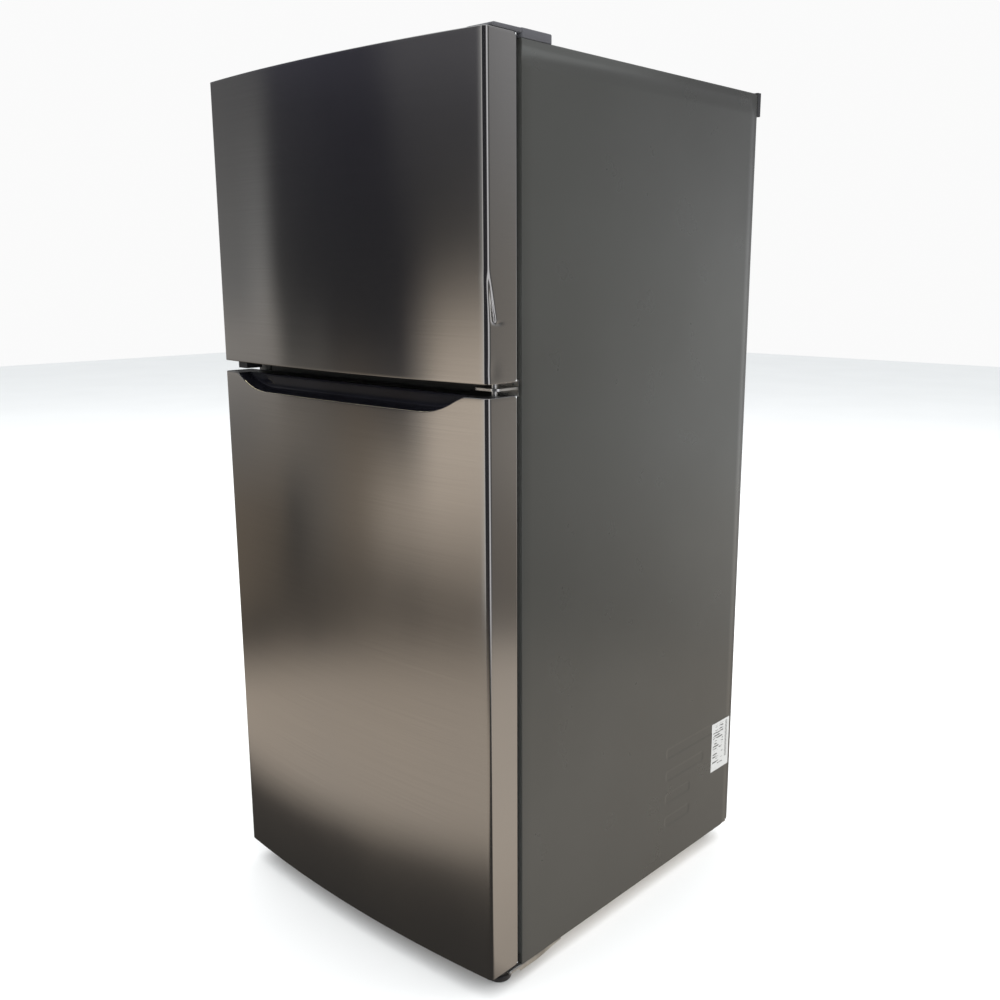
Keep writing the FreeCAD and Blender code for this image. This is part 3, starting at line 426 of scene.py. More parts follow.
def door_wrap(name, bottom, top, drop, body, node, dent=None):
    """The sheet wrapped round a door. Each column of the plan runs from the bottom edge to the top one, and
    both edges roll inwards in a quarter circle. drop lowers the top edge by column, and there the roll is
    tucked in less. The rear corners are quarter circles."""
    plan, normals = door_plan((-0.78, 0.78))
    length = np.concatenate([[0], np.cumsum(np.linalg.norm(np.diff(plan, axis=0), axis=1))])
    roll = 1.6 * MM
    rear = np.clip(DOOR_BACK - plan[:, 1], 0, None)
    ease = 8 * MM
    rounding = np.where(rear < ease, ease - np.sqrt(np.clip(ease ** 2 - (ease - rear) ** 2, 0, None)), 0)
    z_low = bottom + rounding
    on_face = plan[:, 1] < DOOR_FACE + 2 * MM
    z_high = top - rounding - drop(plan[:, 0]) * on_face
    turn = np.linspace(0, math.pi / 2, 7)
    middle = np.unique(np.concatenate([np.linspace(0, 1, 50), np.linspace(0, 0.02, 4),
                                       np.linspace(0.1, 0.36, 64), np.linspace(0.98, 1, 4)]))
    count = len(middle)
    start = len(turn)
    lip = 5 * MM
    inset = np.concatenate([[lip], roll * (1 - np.sin(turn))[:-1], np.zeros(count),
                            (roll * (1 - np.cos(turn)))[1:], [lip]])
    z = np.empty((len(inset), len(plan)))
    z[0] = z_low
    z[1:start] = z_low + (roll * (1 - np.cos(turn)))[:-1, None]
    z[start:start + count] = z_low + roll + middle[:, None] * (z_high - z_low - 2 * roll)
    z[start + count:-1] = z_high - (roll * (1 - np.sin(turn)))[1:, None]
    z[-1] = z_high
    tuck = np.ones((len(inset), len(plan)))
    tuck[start + count - 1:] = 1 - 0.8 * smooth_step(drop(plan[:, 0]), 1 * MM, 8 * MM)
    flat = plan[None] - (inset[:, None] * tuck)[..., None] * normals[None]
    points = np.concatenate([flat, z[..., None]], axis=-1)
    if dent is not None:
        points = dent(points, normals)
    uv = np.stack([np.broadcast_to(length, z.shape), z], axis=-1)
    piece = grid_piece(name, points, STAINLESS, body, uv=uv)
    thicken(piece, 0.7 * MM)
    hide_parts(node)


def freezer_dent(points, normals):
    """A crease knocked into the hinge-side corner. Its line slants back as it goes down, and its depth there
    grows from 0.8 to 3 mm. The depth falls off from the line as a bell, 6 mm wide ahead of it and 2.1 mm wide
    behind it. A level fold at its foot and a soft hollow further down are bells in height and depth."""
    y, z = points[..., 1], points[..., 2]
    side = smooth_step(points[..., 0], HALF - 10 * MM, HALF - 1 * MM)
    crease_top, crease_length, slant = 1312 * MM, 84 * MM, 15 * MM
    along = np.clip((crease_top - z) / crease_length, 0, 1)
    line = DOOR_FACE + 3 * MM + slant * along
    across = (y - line) / MM
    within = smooth_step(z, 1224 * MM, 1231 * MM) * (1 - smooth_step(z, 1290 * MM, 1318 * MM))
    ahead = np.clip(np.where(across < 0, across / 6, across / 2.1), -3, 3)
    crease = np.exp(-ahead ** 2) * within * (0.8 + 2.2 * along)

    def bell(height, half_height, depth, half_depth):
        """A bell in height times a bell in depth behind the door's face."""
        return np.exp(-((z - height) / half_height) ** 2 - ((y - DOOR_FACE - depth) / half_depth) ** 2)

    level_fold = bell(1226 * MM, 2.4 * MM, 26 * MM, 9 * MM) * 1.2
    hollow = bell(1150 * MM, 12 * MM, 14 * MM, 14 * MM) * 0.7
    depth = (crease + level_fold + hollow) * MM * side
    points[..., 0] -= depth * np.abs(normals[None, :, 0])
    points[..., 1] -= depth * normals[None, :, 1] * 0.4
    return points


def door_outline(inset, notch=False):
    """A door's plan as a closed outline that turns left, smaller by inset: the bowed face, quarter-circle
    corners and a straight rear. notch leaves out a rectangle where the pocket handle is."""
    x = np.linspace(-HALF + CORNER, HALF - CORNER, 60)
    face = np.stack([x, bow_y(x) + inset], axis=-1)
    if notch:
        edge = POCKET_FLAT + POCKET_BEND * math.sin(POCKET_SLOPE) + 24 * MM
        back = SCOOP_BACK + 1 * MM
        left, right = face[face[:, 0] < -edge], face[face[:, 0] > edge]
        ahead = bow_y(edge) + inset
        step = np.array([[-edge, ahead], [-edge, back], [edge, back], [edge, ahead]])
        face = np.concatenate([left, step, right])
    turn = np.linspace(0, math.pi / 2, 8)
    radius = CORNER - inset
    corner_y = DOOR_FACE + CORNER - 0.6 * MM
    corner = np.stack([HALF - CORNER + radius * np.sin(turn), corner_y - radius * np.cos(turn)], axis=-1)
    rear = np.array([[HALF - inset, DOOR_BACK - inset], [-HALF + inset, DOOR_BACK - inset]])
    return np.concatenate([face, corner[1:], rear, (corner * [-1, 1])[::-1][:-1]])


def door_caps():
    """The plastic end caps, sunk a little inside the rolled edges of the sheet."""
    sunk = 0.7 * MM
    for name, body, bottom, top, notch in (
            ("freezer_door_top_cap", "freezer_door", FREEZER_HIGH - CAP_DEPTH, FREEZER_HIGH - sunk, False),
            ("freezer_door_bottom_cap", "freezer_door", FREEZER_LOW + sunk, FREEZER_LOW + CAP_DEPTH, False),
            ("refrigerator_door_top_cap", "refrigerator_door", FRIDGE_HIGH - CAP_DEPTH, FRIDGE_HIGH - sunk,
             True),
            ("refrigerator_door_bottom_cap", "refrigerator_door", FRIDGE_LOW + sunk, FRIDGE_LOW + CAP_DEPTH,
             False)):
        outline = door_outline(3 * MM, notch)
        cap = prism(name + "_moulding", outline, bottom, top, BLACK_PLASTIC, body)
        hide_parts(name)


def prism(name, outline, bottom, top, material, body):
    """A block over a plan outline that turns left, with flat ends."""
    count = len(outline)
    rows = np.stack([np.column_stack([outline, np.full(count, z)]) for z in (bottom, top)])
    faces = grid_faces(2, count, wrap=True)
    faces += [list(range(count))[::-1], list(range(count, 2 * count))]
    return mesh_piece(name, rows, faces, material, body, smooth=False)


def freezer_foam():
    """The foam in the freezer door, kept clear of the crease in its sheet."""
    clear_of_cap = CAP_DEPTH + 0.2 * MM
    foam = prism("freezer_door_foam", door_outline(6 * MM), FREEZER_LOW + clear_of_cap,
                 FREEZER_HIGH - clear_of_cap, FOAM, "freezer_door")
    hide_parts("freezer_door_insulation")


def pocket_scoop():
    """The glossy moulding of the pocket handle. Its lip tucks behind the cut in the sheet. From there each
    column dips back over a rounded rim, runs along a floor that rises as a quarter sine, turns up in a
    quarter circle to the back wall and folds onto the top. The turn's radius and the floor's rise shrink with
    the rim's depth, so the bowl fades out where the rim rises to the door's top."""
    edge = POCKET_FLAT + POCKET_BEND * math.sin(POCKET_SLOPE) + 23 * MM
    xs = clustered(-edge, edge, 60, (-edge + 50 * MM, edge - 50 * MM), 60 * MM, 50)
    top = FRIDGE_HIGH - 0.5 * MM
    rim = FRIDGE_HIGH - smile_drop(xs) + 0.15 * MM
    share = np.clip(np.clip(top - rim, 0, None) / POCKET_DROP, 0, 1)
    behind_sheet = bow_y(xs) + 0.9 * MM
    rim_radius, lip = 1 * MM, 2.2 * MM
    back = SCOOP_BACK - 2.6 * MM
    bend = 11 * MM * share + 0.3 * MM
    rise = 0.4 * MM * share
    rows = [(behind_sheet, rim - 5 * MM), (behind_sheet, rim - rim_radius)]
    rows += [(behind_sheet + lip * (1 - math.cos(a)), rim - rim_radius + rim_radius * math.sin(a))
             for a in (0.5, 1.0, 1.57)]
    start = behind_sheet + lip
    for t in np.linspace(0.12, 1, 8):
        rows.append((start + t * (back - bend - start), rim + rise * math.sin(t * math.pi / 2)))
    for a in np.linspace(0.2, math.pi / 2, 9):
        rows.append((back - bend + bend * math.sin(a), rim + rise + bend * (1 - math.cos(a))))
    wall_foot = rim + rise + bend
    wall = np.full(len(xs), back)
    for t in np.linspace(0.25, 1, 4):
        rows.append((wall, wall_foot + t * (np.maximum(top, wall_foot) - wall_foot)))
    rows.append((wall + 2.4 * MM, np.full(len(xs), top)))
    points = np.stack([np.stack([xs, y, np.minimum(z, top)], axis=-1) for y, z in rows])
    piece = grid_piece("pocket_scoop", points, GLOSS_BLACK, "refrigerator_door")
    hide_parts("pocket_handle")


def door_seal(name, node, body):
    """The magnetic seal: a bellows with two folds and a flat face, its section carried round a rounded frame.
    Each pair of the section is a share of the width, inwards, and a share of the depth."""
    lo, hi = low(node), high(node)
    width, depth, frame_radius = 14 * MM, hi[1] - lo[1], 16 * MM
    section = [(0.06, 0), (0.02, 0.12), (0.02, 0.3), (0.2, 0.42), (0.2, 0.52), (0.02, 0.62), (0.02, 0.82),
               (0.08, 0.97), (0.5, 1), (0.92, 0.97), (0.98, 0.82), (0.98, 0.62), (0.8, 0.52), (0.8, 0.42),
               (0.98, 0.3), (0.98, 0.12), (0.94, 0)]
    rings = []
    for across, out in section:
        inset = across * width
        loop = rounded_rectangle(lo[0] + inset, hi[0] - inset, lo[2] + inset, hi[2] - inset,
                                 frame_radius - inset, 7)
        rings.append(np.stack([loop[:, 0], np.full(len(loop), lo[1] + out * depth), loop[:, 1]], axis=-1))
    # the seal's near-black rubber includes painted shade for the gap between door and cabinet
    piece = grid_piece(name, np.stack(rings), RUBBER_WITH_PAINTED_SHADE, body, wrap=True, flip=True)
    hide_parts(node)


def build_doors():
    """Both doors: their sheets, caps, foam, pocket handle and seals."""
    door_wrap("freezer_door_wrap", FREEZER_LOW, FREEZER_HIGH, no_drop, "freezer_door", "freezer_door_skin",
              freezer_dent)
    door_wrap("refrigerator_door_wrap", FRIDGE_LOW, FRIDGE_HIGH, smile_drop, "refrigerator_door",
              "refrigerator_door_skin")
    door_caps()
    freezer_foam()
    pocket_scoop()
    door_seal("freezer_door_bellows", "freezer_door_gasket", "freezer_door")
    door_seal("refrigerator_door_bellows", "refrigerator_door_gasket", "refrigerator_door")


# ------------------------------------------------------------ cabinet

def bead_depth(y, z):
    """How far the side sheet is pressed in at each place, in flat-bottomed beads stacked low at the back. A
    bead is a rounded rectangle, and its depth is an S-shaped cubic of the distance outside its edge."""
    pressed = np.zeros(np.broadcast(y, z).shape)
    start, half_z, radius, depth = FRONT + 460 * MM, 12 * MM, 8 * MM, 0.75 * MM
    for bottom, length in ((284.5, 190), (232, 145), (179, 94), (125.5, 95)):
        half_y = length * MM / 2
        dy = np.abs(y - start - half_y) - (half_y - radius)
        dz = np.abs(z - (bottom + 12) * MM) - (half_z - radius)
        corner = np.hypot(np.clip(dy, 0, None), np.clip(dz, 0, None))
        outside = corner + np.minimum(np.maximum(dy, dz), 0) - radius
        pressed = np.maximum(pressed, depth * (1 - smooth_step(outside, -2.4 * MM, 0.4 * MM)))
    return pressed


def cabinet_wrap():
    """The painted sheet: up one side, over the top and down the other, with a small bend at each top corner.
    From front to rear it starts at the flange's inner edge, folds round the front edge and runs back. The flat
    flanges are the outline drawn in by a share of its width and height, so their corners meet as mitres."""
    bend = 3 * MM
    turn = np.linspace(0, math.pi / 2, 6)
    heights = clustered(CASE_LOW, CASE_TOP - bend, 40, (215 * MM,), 102 * MM, 75)
    heights = np.insert(heights, 1, CASE_LOW + np.array([0.5, 2.0]) * MM)
    right = np.stack([np.full(len(heights), SIDE), heights], axis=-1)
    corner = np.stack([SIDE - bend + bend * np.cos(turn), CASE_TOP - bend + bend * np.sin(turn)], axis=-1)
    across = np.linspace(SIDE - bend, -SIDE + bend, 24)[1:-1]
    top = np.stack([across, np.full(len(across), CASE_TOP)], axis=-1)
    plan = np.concatenate([right, corner, top, (corner * [-1, 1])[::-1], (right * [-1, 1])[::-1]])
    bend_normal = np.stack([np.cos(turn), np.sin(turn)], axis=-1)
    normal = np.concatenate([np.tile([1.0, 0], (len(right), 1)), bend_normal, np.tile([0, 1.0], (len(top), 1)),
                             (bend_normal * [-1, 1])[::-1], np.tile([-1.0, 0], (len(right), 1))])
    fold = 1.6 * MM
    back_turn = np.linspace(0, math.pi / 2, 5)
    depths = clustered(FRONT + fold, REAR - 1 * MM, 30, (FRONT + 556 * MM,), 102 * MM, 72)
    inset = np.concatenate([[47 * MM, 20 * MM], fold * (1 - np.sin(back_turn)), np.zeros(len(depths) - 1),
                            [1 * MM, 14 * MM]])
    ys = np.concatenate([[FRONT, FRONT], FRONT + fold * (1 - np.cos(back_turn)), depths[1:], [REAR, REAR]])
    points = np.empty((len(ys), len(plan), 3))
    points[..., [0, 2]] = plan[None] - inset[:, None, None] * normal[None]
    points[..., 1] = ys[:, None]
    tall = CASE_TOP - CASE_LOW
    for row, sag in ((0, 10 * MM), (1, 0.0), (-1, 0.0)):
        points[row, :, 0] = plan[:, 0] * (1 - inset[row] / SIDE)
        points[row, :, 2] = CASE_LOW + (plan[:, 1] - CASE_LOW) * (1 - (inset[row] + sag) / tall)
    on_side = np.abs(plan[:, 0]) > SIDE - 1e-6
    rear_round = 13 * MM
    near = np.clip(points[..., 1] - (REAR - rear_round), 0, rear_round)
    lift = rear_round - np.sqrt(rear_round ** 2 - near ** 2)
    share = 1 - smooth_step(points[..., 2], CASE_LOW, CASE_LOW + 40 * MM)
    points[..., 2] += lift * share * on_side
    pressed = bead_depth(points[..., 1], points[..., 2]) * (inset < 1e-6)[:, None] * on_side
    points[..., 0] -= np.sign(points[..., 0]) * pressed
    piece = grid_piece("cabinet_wrap", points, PAINT, "cabinet", flip=True)
    thicken(piece, 0.15 * MM)
    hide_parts("cabinet_shell")


def paper_label():
    """The paper label, which follows the pressed sheet and stands just clear of it."""
    lo, hi = low("side_label"), high("side_label")
    y = np.linspace(lo[1], hi[1], 24)
    z = np.linspace(lo[2], hi[2], 40)
    across, up = np.meshgrid(y, z)
    x = HALF - 0.03 * MM - 0.85 * bead_depth(across, up)
    points = np.stack([x, across, up], axis=-1)
    uv = np.stack([(across - lo[1]) / (hi[1] - lo[1]), (up - lo[2]) / (hi[2] - lo[2])], axis=-1)
    piece = grid_piece("paper_label", points, LABEL, "cabinet", uv=uv)
    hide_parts("side_label")


def slab(name, outline, bottom, top, shoulder, material, body):
    """A moulded block over a plan outline that turns left: walls rise to a rounded shoulder and a level top."""
    ahead, behind = np.roll(outline, -1, axis=0), np.roll(outline, 1, axis=0)
    along = ahead - behind
    normal = np.stack([along[:, 1], -along[:, 0]], axis=-1)
    normal /= np.linalg.norm(normal, axis=1)[:, None] + 1e-12
    turn = np.linspace(0, math.pi / 2, 7)
    chamfer = 0.6 * MM
    rings = [(chamfer, bottom), (0, bottom + chamfer)]
    rings += [(shoulder * (1 - math.cos(a)), top - shoulder + shoulder * math.sin(a)) for a in turn]
    points = np.stack([np.column_stack([outline - inset * normal, np.full(len(outline), z)])
                       for inset, z in rings])
    return grid_piece(name, points, material, body, wrap=True, close=("first", "last"))


def hood_over(plan, bottom, top, front):
    """The hood over the door: walls up to an edge, then a skin that rises to the top as a quarter ellipse from
    the nose, so it is thin at its front and level behind."""
    reach, rise = 13 * MM, top - bottom
    middle = plan.mean(axis=0)
    rows = [np.column_stack([plan, np.full(len(plan), bottom)])]
    for share in (1.0, 0.995, 0.985, 0.96, 0.9, 0.75, 0.5):
        ring = middle + (plan - middle) * share
        ahead = np.clip(1 - (ring[:, 1] - front) / reach, 0, 1)
        lift = np.sqrt(np.clip(1 - ahead ** 2, 0, 1))
        outer = max(0.0, (share - 0.96) / 0.04)
        edge = 0.75 + 0.25 * math.sqrt(max(0.0, 1 - outer ** 2))
        rows.append(np.column_stack([ring, bottom + rise * lift * edge]))
    return grid_piece("hinge_cover_hood", np.stack(rows), COVER_PLASTIC, "cabinet", wrap=True,
                      close=("first", "last"))


def hinge_cover():
    """The cover over the top hinge: a box on the cabinet and a lower, round-nosed hood over the door."""
    lo, hi = low("top_hinge_cover"), high("top_hinge_cover")
    tail = rounded_rectangle(lo[0], hi[0], FRONT + 0.8 * MM, hi[1], 4 * MM)
    box = slab("hinge_cover_tail", tail, CASE_TOP, hi[2], 2.5 * MM, COVER_PLASTIC, "cabinet")
    turn = np.linspace(0, math.pi / 2, 14)[:, None]
    far, near = 28 * MM, 9 * MM
    front = lo[1] + 5 * MM
    left = np.array([lo[0] + far, front + far]) + far * np.hstack([-np.cos(turn), -np.sin(turn)])
    right = np.array([hi[0] - near, lo[1] + near]) + near * np.hstack([np.sin(turn), -np.cos(turn)])
    hood_plan = np.concatenate([left, right, [[hi[0], FRONT + 1 * MM], [lo[0], FRONT + 1 * MM]]])
    hood = hood_over(hood_plan, FREEZER_HIGH + 1 * MM, hi[2] - 1.2 * MM, lo[1])
    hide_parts("top_hinge_cover")


def front_bracket(name, sign):
    """A galvanised bracket under one front corner: a plate that bends down into a fin, whose lower edge rises
    towards the rear until the fin ends."""
    lo, hi = low("base_rails"), high("base_rails")
    gauge, bend, plate_width = 1.6 * MM, 4 * MM, 58 * MM
    outer, top = HALF - 1.2 * MM, hi[2] - 0.1 * MM
    y = clustered(FRONT - 34 * MM, hi[1], 20, (FRONT - 5 * MM,), 8 * MM, 10)
    reach = smooth_step(y, FRONT - 8 * MM, FRONT - 2 * MM) * (1 - smooth_step(y, FRONT + 40 * MM, hi[1]))
    fin_edge = hi[2] - 4 * MM - (hi[2] - lo[2] - 10 * MM) * reach

    def row(x, z):
        """One row of the grid, from front to rear, at x and z."""
        return np.stack([np.full(len(y), x), y, np.broadcast_to(z, y.shape)])

    rows = [row(x, top) for x in np.linspace(outer - plate_width, outer - bend, 5)]
    rows += [row(outer - bend + bend * math.cos(a), top - bend + bend * math.sin(a))
             for a in np.linspace(math.pi / 2, 0, 7)[1:]]
    start = top - bend
    rows += [row(outer, start + share * (np.minimum(fin_edge, start - 0.4 * MM) - start))
             for share in (0.2, 0.5, 0.8, 0.97, 1.0)]
    points = np.stack(rows).transpose(0, 2, 1) * [sign, 1, 1]
    piece = grid_piece(name, points, GALVANISED, "cabinet", flip=sign > 0)
    thicken(piece, gauge)
    return piece


def build_brackets():
    """Both front brackets, each the mirror of the other."""
    right = front_bracket("front_bracket_right", 1)
    left = front_bracket("front_bracket_left", -1)
    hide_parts("base_rails")


def build_cabinet():
    """The cabinet's sheet, brackets, label and hinge cover."""
    cabinet_wrap()
    build_brackets()
    paper_label()
    hinge_cover()


build_doors()
build_cabinet()


# ------------------------------------------------------------ carried-over nodes

NODE_MATERIALS = {
    "bottom_pan": ZINC, "freezer_liner": WHITE_PLASTIC, "refrigerator_liner": WHITE_PLASTIC,
    "mullion_trim": PAINT,
    "cabinet_insulation": FOAM, "rear_panel": BOARD, "rear_top_rail": BLACK_PLASTIC, "machine_cover": BOARD,
    "freezer_door_liner": WHITE_PLASTIC,
    "freezer_door_bins": CLEAR, "freezer_door_bushings": NYLON, "freezer_door_stop": BLACK_PLASTIC,
    "refrigerator_door_insulation": FOAM, "refrigerator_door_liner": WHITE_PLASTIC,
    "refrigerator_door_bins": CLEAR, "refrigerator_door_bushings": NYLON,
    # The lower hinge takes black enamel instead of zinc plate: painted shade for the dark place low between the
    # door and the base.
    "top_hinge": ZINC, "middle_hinge": ZINC, "lower_hinge": BLACK_ENAMEL, "hinge_screws": ZINC,
    "levelling_foot_left": BLACK_PLASTIC, "levelling_foot_right": BLACK_PLASTIC, "rear_roller_left": NYLON,
    "rear_roller_right": NYLON, "glass_shelves": GLASS, "shelf_nosings": WHITE_PLASTIC, "crisper_left": CLEAR,
    "crisper_right": CLEAR, "evaporator_cover": WHITE_PLASTIC, "evaporator": FINS,
    "evaporator_fan_blades": WHITE_PLASTIC, "evaporator_fan_motor": BLACK_PLASTIC, "air_duct": WHITE_PLASTIC,
    "control_housing": WHITE_PLASTIC, "lamp_lens": CLEAR, "temperature_dial": WHITE_PLASTIC,
    "light_switch_housing": WHITE_PLASTIC, "light_switch_plunger": WHITE_PLASTIC, "compressor_base": ZINC,
    "compressor": BLACK_ENAMEL, "compressor_mounts": RUBBER_WITH_PAINTED_SHADE, "drain_pan": BLACK_PLASTIC,
    "condenser_coil": COPPER,
    "condenser_fan_blades": BLACK_PLASTIC, "condenser_fan_motor": BLACK_PLASTIC, "power_inlet": BLACK_PLASTIC,
}
for name, finish in NODE_MATERIALS.items():
    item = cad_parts[name]
    for place in item.material_slots:
        place.material = finish


# ------------------------------------------------------------ floor, light and camera

def stage_sheet(name, corners, material):
    """A flat stage sheet."""
    mesh = bpy.data.meshes.new(name)
    mesh.from_pydata([tuple(corner) for corner in corners], [], [(0, 1, 2, 3)])
    sheet = bpy.data.objects.new(name, mesh)
    bpy.context.scene.collection.objects.link(sheet)
    mesh.materials.append(material)


def build_stage():
    """A pale matt floor, a square sheet 28 m across."""
    floor = mottled("pale_floor", (0.86, 0.86, 0.855), (0.88, 0.88, 0.875), (0.7, 0.8), 200, scale=1.5,
                    specular=0.1)
    size = 14
    stage_sheet("floor", [(-size, -size, 0), (size, -size, 0), (size, size, 0), (-size, size, 0)], floor)


def maths(tree, operation, first, second=None, third=None):
    """One arithmetic step on up to three numbers or sockets."""
    node = tree.nodes.new("ShaderNodeMath")
    node.operation = operation
    for place, value in enumerate((first, second, third)):
        if isinstance(value, (int, float)):
            node.inputs[place].default_value = value
        elif value is not None:
            tree.links.new(value, node.inputs[place])
    return node.outputs[0]


def blend(tree, factor, first, second):
    """A colour between two others, by factor."""
    node = tree.nodes.new("ShaderNodeMix")
    node.data_type = "RGBA"
    tree.links.new(factor, node.inputs["Factor"])
    tree.links.new(first, node.inputs["A"])
    tree.links.new(second, node.inputs["B"])
    return node.outputs["Result"]


def glow_start(name):
    """An empty glowing material, its node tree, and the two coordinates of its sheet's own map."""
    material = bpy.data.materials.new(name)
    material.use_nodes = True
    tree = material.node_tree
    tree.nodes.clear()
    coords = tree.nodes.new("ShaderNodeTexCoord")
    split = tree.nodes.new("ShaderNodeSeparateXYZ")
    tree.links.new(coords.outputs["UV"], split.inputs["Vector"])
    return material, tree, split.outputs["X"], split.outputs["Y"]


def glow_end(tree, colour):
    """The glow of a colour, joined to the material's output."""
    glow = tree.nodes.new("ShaderNodeEmission")
    tree.links.new(colour, glow.inputs["Color"])
    out = tree.nodes.new("ShaderNodeOutputMaterial")
    tree.links.new(glow.outputs[0], out.inputs["Surface"])


def grey(level, warm=0.0):
    """A shade of grey. A positive warmth tints it towards brown and a negative one towards blue."""
    if warm < 0:
        return (level, level, level * (1 - 1.6 * warm))
    return (level * (1 + warm), level, level * (1 - warm))


def soft_sheet(name, points, rows, columns, uv, material):
    """A glowing stage sheet that only polished surfaces see."""
    mesh = bpy.data.meshes.new(name)
    mesh.from_pydata(points.tolist(), [], grid_faces(rows, columns))
    layer = mesh.uv_layers.new(name="UVMap")
    index = np.empty(len(mesh.loops), dtype=np.int32)
    mesh.loops.foreach_get("vertex_index", index)
    layer.data.foreach_set("uv", uv[index].ravel())
    mesh.materials.append(material)
    sheet = bpy.data.objects.new(name, mesh)
    bpy.context.scene.collection.objects.link(sheet)
    sheet.visible_camera = False
    sheet.visible_diffuse = False
    sheet.visible_shadow = False
    sheet.visible_transmission = False


def studio_wall():
    """A round screen with soft pale and dark fields. Each row is a height and its (turn, shade, warmth) stops,
    where turn 0 is straight ahead of the doors and 90 is on the right."""
    right = [
        (-14, 1.1, 0), (-8, 1.1, 0), (-2, 0.05, -0.1), (70, 0.05, -0.1), (82, 1.2, -0.03), (96, 1.2, -0.03),
        (106, 0.15, 0), (122, 0.16, 0)]
    rows = [
        (0.05, [
            (-72, 0.18, 0.2), (-62, 0.11, 0.14), (-45, 0.1, 0.12), (-36, 0.15, 0.14), (-24, 0.28, 0.16),
            *right, (132, 0.17, 0.12), (138, 0.3, 0.1), (150, 0.7, 0.08)]),
        (0.4, [
            (-72, 0.2, 0.2), (-64, 0.17, 0.18), (-61, 0.09, 0.05), (-55, 0.22, 0.1), (-47, 0.34, 0.18),
            (-41, 0.68, 0.16), (-32, 0.85, 0.16), (-22, 0.8, 0.16), *right, (132, 0.28, 0.12),
            (140, 0.5, 0.08), (150, 1.0, 0.06)]),
        (0.74, [
            (-72, 0.28, 0.04), (-60, 0.34, 0.1), (-54, 0.26, 0.1), (-47, 0.22, 0.18), (-38, 0.1, 0),
            (-35, 0.4, 0.08), (-32, 0.95, 0.14), (-22, 0.98, 0.14), *right, (132, 0.45, 0.08),
            (140, 0.6, 0.02), (150, 1.2, 0)]),
        (1.04, [
            (-66, 0.48, 0.06), (-63, 0.46, 0.06), (-61, 0.1, 0), (-54, 0.12, 0.02), (-51, 0.05, -0.04),
            (-38, 0.05, -0.08), (-34, 0.34, 0.12), (-30, 0.75, 0.16), (-22, 0.85, 0.16), *right,
            (132, 0.34, 0.08), (140, 0.6, 0.03), (150, 1.1, 0)]),
        (1.22, [
            (-70, 0.3, 0), (-65, 0.46, 0.03), (-62, 0.09, 0), (-56, 0.05, -0.06), (-37, 0.045, -0.08),
            (-32, 0.14, 0.06), (-22, 0.26, 0.08), *right, (132, 0.34, 0.08), (140, 0.6, 0.02), (150, 1.1, 0)]),
        (1.36, [
            (-70, 0.27, 0), (-65, 0.36, 0), (-62, 0.07, -0.03), (-56, 0.055, -0.06), (-37, 0.04, -0.1),
            (-31, 0.065, 0), (-22, 0.08, 0), *right, (132, 0.34, 0.06), (140, 0.6, 0), (150, 1.05, -0.02)]),
        (1.95, [
            (-70, 0.18, -0.02), (-64, 0.17, -0.02), (-61, 0.07, -0.12), (-48, 0.045, -0.2),
            (-41, 0.045, -0.2), (-37, 0.09, -0.08), (-22, 0.09, -0.08), *right, (132, 0.46, -0.02),
            (140, 0.42, -0.05), (150, 0.42, -0.06)]),
        (2.1, [
            (-70, 0.22, -0.03), (-60, 0.11, -0.2), (-44, 0.085, -0.2), (-38, 0.17, -0.08),
            (-22, 0.16, -0.08), *right, (132, 0.56, -0.03), (140, 0.36, -0.05), (150, 0.3, -0.06)]),
    ]
    radius, height, count = 2.2, 3.0, 96
    turn = np.linspace(-math.pi, math.pi, count + 1)
    ring = np.stack([radius * np.sin(turn), -0.4 - radius * np.cos(turn)], axis=-1)
    points = np.concatenate([np.column_stack([ring, np.full(count + 1, z)]) for z in (0.0, height)])
    uv = np.stack([np.tile(np.linspace(-180, 180, count + 1), 2), np.repeat([0.0, height], count + 1)], axis=-1)
    material, tree, across, up = glow_start("studio_wall")
    share = maths(tree, "MULTIPLY_ADD", across, 1 / 360, 0.5)
    colour, below = None, None
    for level, stops in rows:
        shade = ramp(tree, share, [((angle + 180) / 360, grey(value, warm)) for angle, value, warm in stops])
        colour = shade if colour is None else blend(tree, span(tree, up, below, level, 0, 1), colour, shade)
        below = level
    glow_end(tree, colour)
    soft_sheet("studio_wall", points, 2, count + 1, uv, material)


def studio_floor():
    """The floor as polished surfaces see it: pale, darker towards the wall, and a painted shadow in a band
    ahead of the doors, whose far edge runs aslant and fades."""
    material, tree, x, y = glow_start("studio_floor")
    ahead = maths(tree, "ADD", y, 0.4)
    away = maths(tree, "SQRT", maths(tree, "ADD", maths(tree, "MULTIPLY", x, x),
                                     maths(tree, "POWER", ahead, 2)))
    pale = ramp(tree, maths(tree, "DIVIDE", away, 2.2),
                [(0.2, grey(0.62, 0.14)), (0.6, grey(0.62, 0.16)), (0.72, grey(0.4, 0.16)),
                 (0.84, grey(0.11, 0.14))])
    aslant = maths(tree, "ADD", maths(tree, "MULTIPLY_ADD", x, -0.262, -0.165),
                   maths(tree, "MULTIPLY_ADD", y, -0.965, -0.502))
    # dark is the painted shadow ahead of the doors, seen only in their reflections
    dark = ramp(tree, span(tree, aslant, -0.5, 0.5, 0, 1), [(0.3, grey(0.066, 0.07)), (0.49, grey(0.085, 0.1))])
    front = blend(tree, span(tree, aslant, 0.01, 0.17, 0, 1), dark, pale)
    side = ramp(tree, span(tree, x, 0.4, 1.4, 0, 1), [(0, grey(0.58, 0.13)), (0.35, grey(0.74, 0.13))])
    glow_end(tree, blend(tree, span(tree, y, -0.4, -0.3, 0, 1), front, side))
    steps = 12
    across, up = np.meshgrid(np.linspace(-2.2, 2.2, steps), np.linspace(-2.6, 1.8, steps))
    points = np.stack([across, up, np.full(across.shape, 0.003)], axis=-1).reshape(-1, 3)
    soft_sheet("studio_floor", points, steps, steps, points[:, :2].copy(), material)


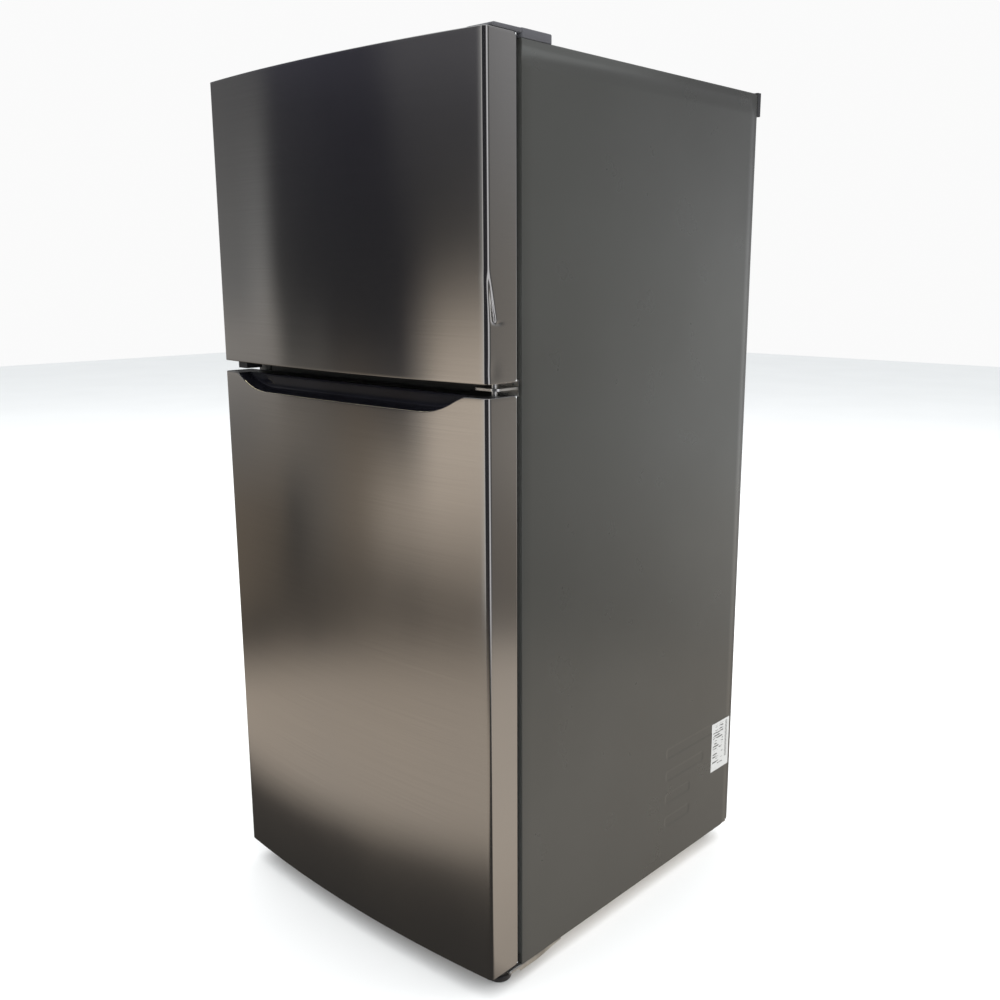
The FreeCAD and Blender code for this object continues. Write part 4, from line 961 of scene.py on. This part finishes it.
def build_light():
    """An even pale world and two large soft lights. The camera sees the world a little brighter and neutral."""
    world = bpy.data.worlds.new("studio")
    bpy.context.scene.world = world
    world.use_nodes = True
    nodes, links = world.node_tree.nodes, world.node_tree.links
    nodes.clear()
    out = nodes.new("ShaderNodeOutputWorld")
    seen = nodes.new("ShaderNodeBackground")
    seen.inputs["Color"].default_value = (1, 1, 1, 1)
    seen.inputs["Strength"].default_value = 0.96
    lit = nodes.new("ShaderNodeBackground")
    lit.inputs["Color"].default_value = (0.95, 0.98, 1.0, 1)
    lit.inputs["Strength"].default_value = 0.95
    path = nodes.new("ShaderNodeLightPath")
    mix = nodes.new("ShaderNodeMixShader")
    links.new(path.outputs["Is Camera Ray"], mix.inputs["Fac"])
    links.new(lit.outputs[0], mix.inputs[1])
    links.new(seen.outputs[0], mix.inputs[2])
    links.new(mix.outputs[0], out.inputs["Surface"])

    def soft_box(name, place, target, size, power):
        """A rectangular light at place that faces target and leaves no highlight of its own."""
        light = bpy.data.lights.new(name, "AREA")
        light.shape = "RECTANGLE"
        light.size, light.size_y = size
        light.energy = power
        lamp = bpy.data.objects.new(name, light)
        lamp.location = place
        lamp.rotation_euler = (Vector(target) - Vector(place)).to_track_quat("-Z", "Y").to_euler()
        lamp.visible_glossy = False
        bpy.context.scene.collection.objects.link(lamp)

    soft_box("overhead", (0.4, -0.6, 4.2), (0.2, -0.2, 0.0), (12.0, 12.0), 520)
    soft_box("right_rear", (3.6, 2.4, 2.2), (0.4, 0.2, 0.8), (2.0, 2.4), 45)


def build_camera():
    """A 38 mm lens, a little above the middle of the object's height, to its right and in front."""
    camera = bpy.data.cameras.new("camera")
    camera.sensor_width = 36
    camera.lens = 38.119
    camera.shift_x = -0.027
    camera.shift_y = -0.0021
    camera.clip_end = 100
    eye = bpy.data.objects.new("camera", camera)
    eye.location = (1.5588, FRONT - 1.3019, 1.3067)
    tilt, roll, turn = 90 - 12.0375, -0.03, 41.952
    eye.rotation_euler = Euler((math.radians(tilt), math.radians(roll), math.radians(turn)), "XYZ")
    bpy.context.scene.collection.objects.link(eye)
    bpy.context.scene.camera = eye


bpy.context.scene.view_settings.view_transform = "Standard"
build_stage()
studio_wall()
studio_floor()
build_light()
build_camera()
